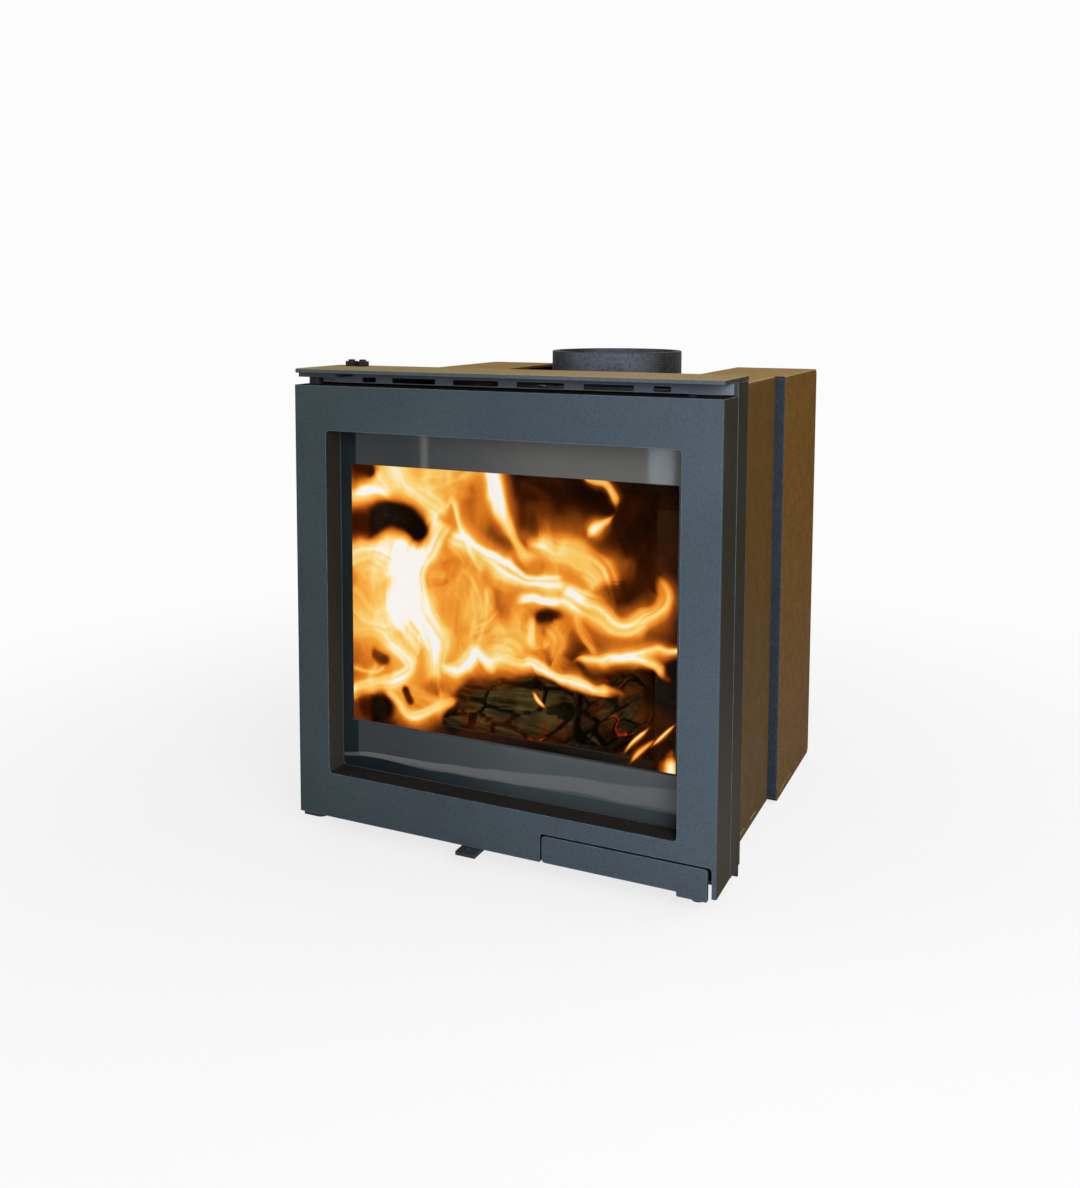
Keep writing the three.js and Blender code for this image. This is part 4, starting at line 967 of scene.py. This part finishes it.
def charred_wood(name, wood, scorch, glow, ash):
    """Burnt wood: fibres along its length, dark scales, ash on their rims, embers down in the cracks."""
    material, s, surface = finish_of(name, shine=0.0)
    place = s.place()
    crack = s.kept("crack")
    girth = s.math("MULTIPLY", s.kept("girth"), 190.0)
    run = s.math("MULTIPLY", s.kept("run"), 26.0)
    fibre = s.noise(s.add("ShaderNodeCombineXYZ", X=run, Y=girth).outputs[0], 1.0, 4.0, 0.6, 0.4)
    blotch = s.noise(place, 32.0, 4.0, 0.6)
    grit = s.noise(place, 420.0, 4.0, 0.7)
    depth = s.math("ADD", s.math("MULTIPLY", fibre, 0.55), s.math("MULTIPLY", blotch, 0.5))
    char, dim, pale = (tuple(share * c for c in wood) for share in (0.08, 0.4, 1.3))
    tone = s.ramp(depth, [(0.36, char), (0.48, dim), (0.6, wood), (0.74, pale)])
    scorched = s.mix(1.0, tone, (*scorch, 1.0), "MULTIPLY")
    tone = s.mix(s.span(s.noise(place, 17.0, 3.0, 0.6, 0.5), 0.44, 0.58), tone, scorched)
    sunk = s.mix(s.span(crack, 0.1, 0.6), tone, (*char, 1.0))
    rim = s.math("MULTIPLY", s.span(crack, 0.15, 0.4), s.span(grit, 0.5, 0.7))
    s.put(surface["Base Color"], s.mix(s.math("MULTIPLY", rim, ash), sunk, ash_grey))
    s.put(surface["Roughness"], s.span(grit, 0.2, 0.8, 0.75, 0.98))
    patchy = s.span(s.noise(place, 15.0, 3.0, 0.6), 0.56, 0.74)
    live = s.math("MULTIPLY", s.span(crack, 0.62, 1.0), patchy)
    s.put(surface["Emission Color"], s.ramp(s.math("MULTIPLY", live, glow), ember_colours))
    surface["Emission Strength"].default_value = 1.0
    bump(s, surface, s.math("ADD", fibre, s.math("MULTIPLY", grit, 0.4)), 0.8, 1.2 * MM)
    return material


def scale_pattern(place):
    """Height and crack depth of burnt scales at a place measured in scales."""
    near = noise.voronoi(place)[0]
    gap = near[1] - near[0]
    crack = 1 - float(smooth(gap, 0.0, 0.11))
    return 1 - crack, crack


plate_width, plate_length = 27 * MM, 62 * MM  # of the burnt bark
crack_depth = 2.8 * MM
# How a log differs from a plain round bar, in shares of its radius.
log_bend, log_lumps, end_narrowing, end_bulge = 0.12, 0.2, 0.22, 0.06


def charred_log(name, start, end, radii, seed, finish, rings=96, sides=72):
    """A burnt log: bent, tapered and uneven, split into scales, with rough sawn ends."""
    start, end = Vector(start), Vector(end)
    axis = (end - start).normalized()
    across = axis.cross(Vector((0, 0, 1))).normalized()
    rise = across.cross(axis)
    length = (end - start).length
    shift = Vector((seed * 3.7, seed * 1.3, seed * 7.1))
    vertices, cracks, runs, girths = [], [], [], []
    for i in range(rings):
        t = i / (rings - 1)
        radius = radii[0] + t * (radii[1] - radii[0])
        bend = log_bend * radius * (noise.noise(shift + Vector((t * 3, 0, 0))) * across)
        centre = start.lerp(end, t) + bend
        for j in range(sides):
            angle = 2 * math.pi * j / sides
            out = math.cos(angle) * across + math.sin(angle) * rise
            lump = 1 + log_lumps * noise.noise(shift + 2.1 * out + Vector((0, t * length * 24, 0)))
            scales = shift + out * (radii[0] / plate_width) + axis * (t * length / plate_length)
            height, crack = scale_pattern(scales)
            end_round = 1 - end_narrowing * (1 - float(smooth(min(t, 1 - t), 0.0, 0.05)))
            reach = radius * lump * end_round - crack_depth * (1 - height)
            vertices.append(centre + out * reach)
            cracks.append(crack)
            runs.append(t * length)
            girths.append(angle * radius)
    faces = grid_faces(rings, sides, closed=True)
    for ring, place, radius, turn in ((0, start, radii[0], 1), (rings - 1, end, radii[1], -1)):
        middle = len(vertices)
        vertices.append(place + axis * (end_bulge * radius * turn))
        for values in (cracks, runs, girths):
            values.append(0.0)
        for j in range(sides):
            a, b = ring * sides + j, ring * sides + (j + 1) % sides
            faces.append((b, a, middle) if turn > 0 else (a, b, middle))
    log = mesh_object(name, vertices, faces, finish)
    keep(log, crack=cracks, run=runs, girth=girths)
    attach(log, "root")


def ember_bed(finish):
    """Ash and charcoal heaped on the hearth, lowest along the edges."""
    gap = 1.5 * MM
    left, right = lining_left + gap, lining_right - gap
    front, back = lining_front + 22 * MM, lining_back - gap
    slope = 50 * MM  # over which the heap rises from its edge
    coal = 13 * MM  # breadth of one piece
    heave, relief, ash_depth = 10 * MM, 9 * MM, 3 * MM  # of the heap, of its pieces, and under them
    columns, rows = 150, 170
    vertices, cracks = [], []
    for i in range(rows):
        for j in range(columns):
            x = left + (right - left) * j / (columns - 1)
            y = front + (back - front) * i / (rows - 1)
            edge = min(x - left, right - x, y - front, back - y)
            heap = float(smooth(edge, 0, slope))
            height, crack = scale_pattern(Vector((x / coal, y / coal, 3.3)))
            lumps = 0.5 + 0.5 * noise.noise(Vector((x * 22, y * 22, 1.7)))
            rise = heap * (heave * lumps + relief * height + ash_depth)
            vertices.append((x, y, hearth_top + 0.4 * MM + rise))
            cracks.append(crack)
    faces = grid_faces(rows, columns)
    bed = mesh_object("ember_bed", vertices, faces, finish)
    keep(bed, crack=cracks, run=[v[0] for v in vertices], girth=[v[1] for v in vertices])
    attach(bed, "root")


bark = charred_wood("charred_bark", (0.085, 0.066, 0.02), (1.5, 0.55, 0.25), 0.6, 0.05)
charcoal = charred_wood("charcoal", (0.05, 0.036, 0.02), (0.8, 0.5, 0.3), 0.9, 0.6)
ember_bed(charcoal)
# Each log: its two ends, with their height above the hearth, its radius at each, and its seed. The top log
# lies across the front and back ones.
logs = {
    "log_front": ((-0.125, -0.108, 0.040), (0.040, -0.088, 0.048), (0.040, 0.048), 1),
    "log_right": ((0.066, -0.085, 0.038), (0.142, -0.120, 0.092), (0.036, 0.032), 2),
    "log_back": ((-0.130, 0.020, 0.042), (0.130, 0.050, 0.048), (0.042, 0.038), 3),
    "log_top": ((-0.055, -0.125, 0.1137), (0.010, 0.062, 0.1167), (0.030, 0.027), 4),
}
for name, (start, end, radii, seed) in logs.items():
    ends = ((x, y, hearth_top + height) for x, y, height in (start, end))
    charred_log(name, *ends, radii, seed, bark)


# ---------------------------------------------------------------- floor, studio and light
studio_white = (0.975, 0.975, 0.975, 1.0)
daylight, daylight_strength = (0.95, 0.98, 1.0, 1.0), 0.5
shadow_near, shadow_far = 0.35, 1.3  # from the middle of the floor: between them the paper turns white


def seen_directly(s):
    """1 for what the camera, a reflection or the glass shows, 0 for the light on things."""
    path = s.nodes.new("ShaderNodeLightPath").outputs
    direct = s.math("MAXIMUM", path["Is Camera Ray"], path["Is Glossy Ray"])
    return s.math("MAXIMUM", direct, path["Is Transmission Ray"])


def studio_world():
    """An even soft light, and white behind the stove."""
    world = bpy.data.worlds.new("studio")
    scene.world = world
    world.use_nodes = True
    s = Shader(world.node_tree)
    s.nodes.clear()
    light = s.add("ShaderNodeBackground", Color=daylight, Strength=daylight_strength).outputs[0]
    white = s.add("ShaderNodeBackground", Color=studio_white, Strength=1.0).outputs[0]
    both = s.nodes.new("ShaderNodeMixShader")
    s.put(both.inputs[0], seen_directly(s))
    s.put(both.inputs[1], light)
    s.put(both.inputs[2], white)
    out = s.nodes.new("ShaderNodeOutputWorld")
    s.put(out.inputs["Surface"], both.outputs[0])


def floor_finish():
    """White paper that keeps the stove's shadow near it and runs into the white further out."""
    material, s, surface = finish_of("floor_paper", shine=0.0)
    place = s.place()
    grain = s.noise(place, 30.0, 3.0, 0.5)
    s.put(surface["Base Color"], s.ramp(grain, [(0.3, (0.88, 0.88, 0.88)), (0.7, (0.9, 0.9, 0.9))]))
    surface["Roughness"].default_value = 1.0
    white = s.add("ShaderNodeEmission", Color=studio_white, Strength=1.0).outputs[0]
    away = s.span(s.vector("LENGTH", place), shadow_near, shadow_far, 0.8, 1.0)
    both = s.nodes.new("ShaderNodeMixShader")
    s.put(both.inputs[0], s.math("MULTIPLY", seen_directly(s), away))
    s.put(both.inputs[1], s.nodes["Principled BSDF"].outputs[0])
    s.put(both.inputs[2], white)
    s.put(s.nodes["Material Output"].inputs["Surface"], both.outputs[0])
    return material


def soft_lamp(name, place, aim, size, power, colour):
    """A flat lamp that lights the stove and stays out of the picture."""
    data = bpy.data.lights.new(name, "AREA")
    data.shape = "RECTANGLE"
    data.size, data.size_y = size
    data.energy = power
    data.color = colour
    lamp = bpy.data.objects.new(name, data)
    scene.collection.objects.link(lamp)
    lamp.location = place
    lamp.rotation_euler = (Vector(aim) - Vector(place)).to_track_quat("-Z", "Y").to_euler()
    lamp.visible_camera = False


studio_world()
floor_reach = 40.0
floor_corners = [(-1, -1), (1, -1), (1, 1), (-1, 1)]
floor = mesh_object(
    "floor", [(floor_reach * x, floor_reach * y, 0) for x, y in floor_corners], [(0, 1, 2, 3)], floor_finish()
)
# Each lamp: its place, what it is aimed at, its size, its power and its colour. The two window lamps are too
# weak to light the stove: they are there to be mirrored in the border of the door glass.
lamps = {
    "key": ((0.95, -1.25, 0.85), (0.1, -0.2, 0.3), (0.7, 0.7), 15.0, (0.95, 0.98, 1.0)),
    "window_strip": ((-0.757, -1.40, 0.275), (-0.0985, -0.21, 0.447), (0.014, 0.1), 0.012, (1.0, 0.98, 0.95)),
    "window_far": ((-0.205, -1.40, 0.275), (0.178, -0.21, 0.447), (0.05, 0.1), 0.07, (0.7, 0.85, 1.0)),
    "side": ((2.2, 0.8, 1.4), (0.2, 0.1, 0.3), (1.4, 1.4), 16.0, (1.0, 0.96, 0.9)),
}
for name, settings in lamps.items():
    soft_lamp(name, *settings)

scene.view_settings.view_transform = "Standard"
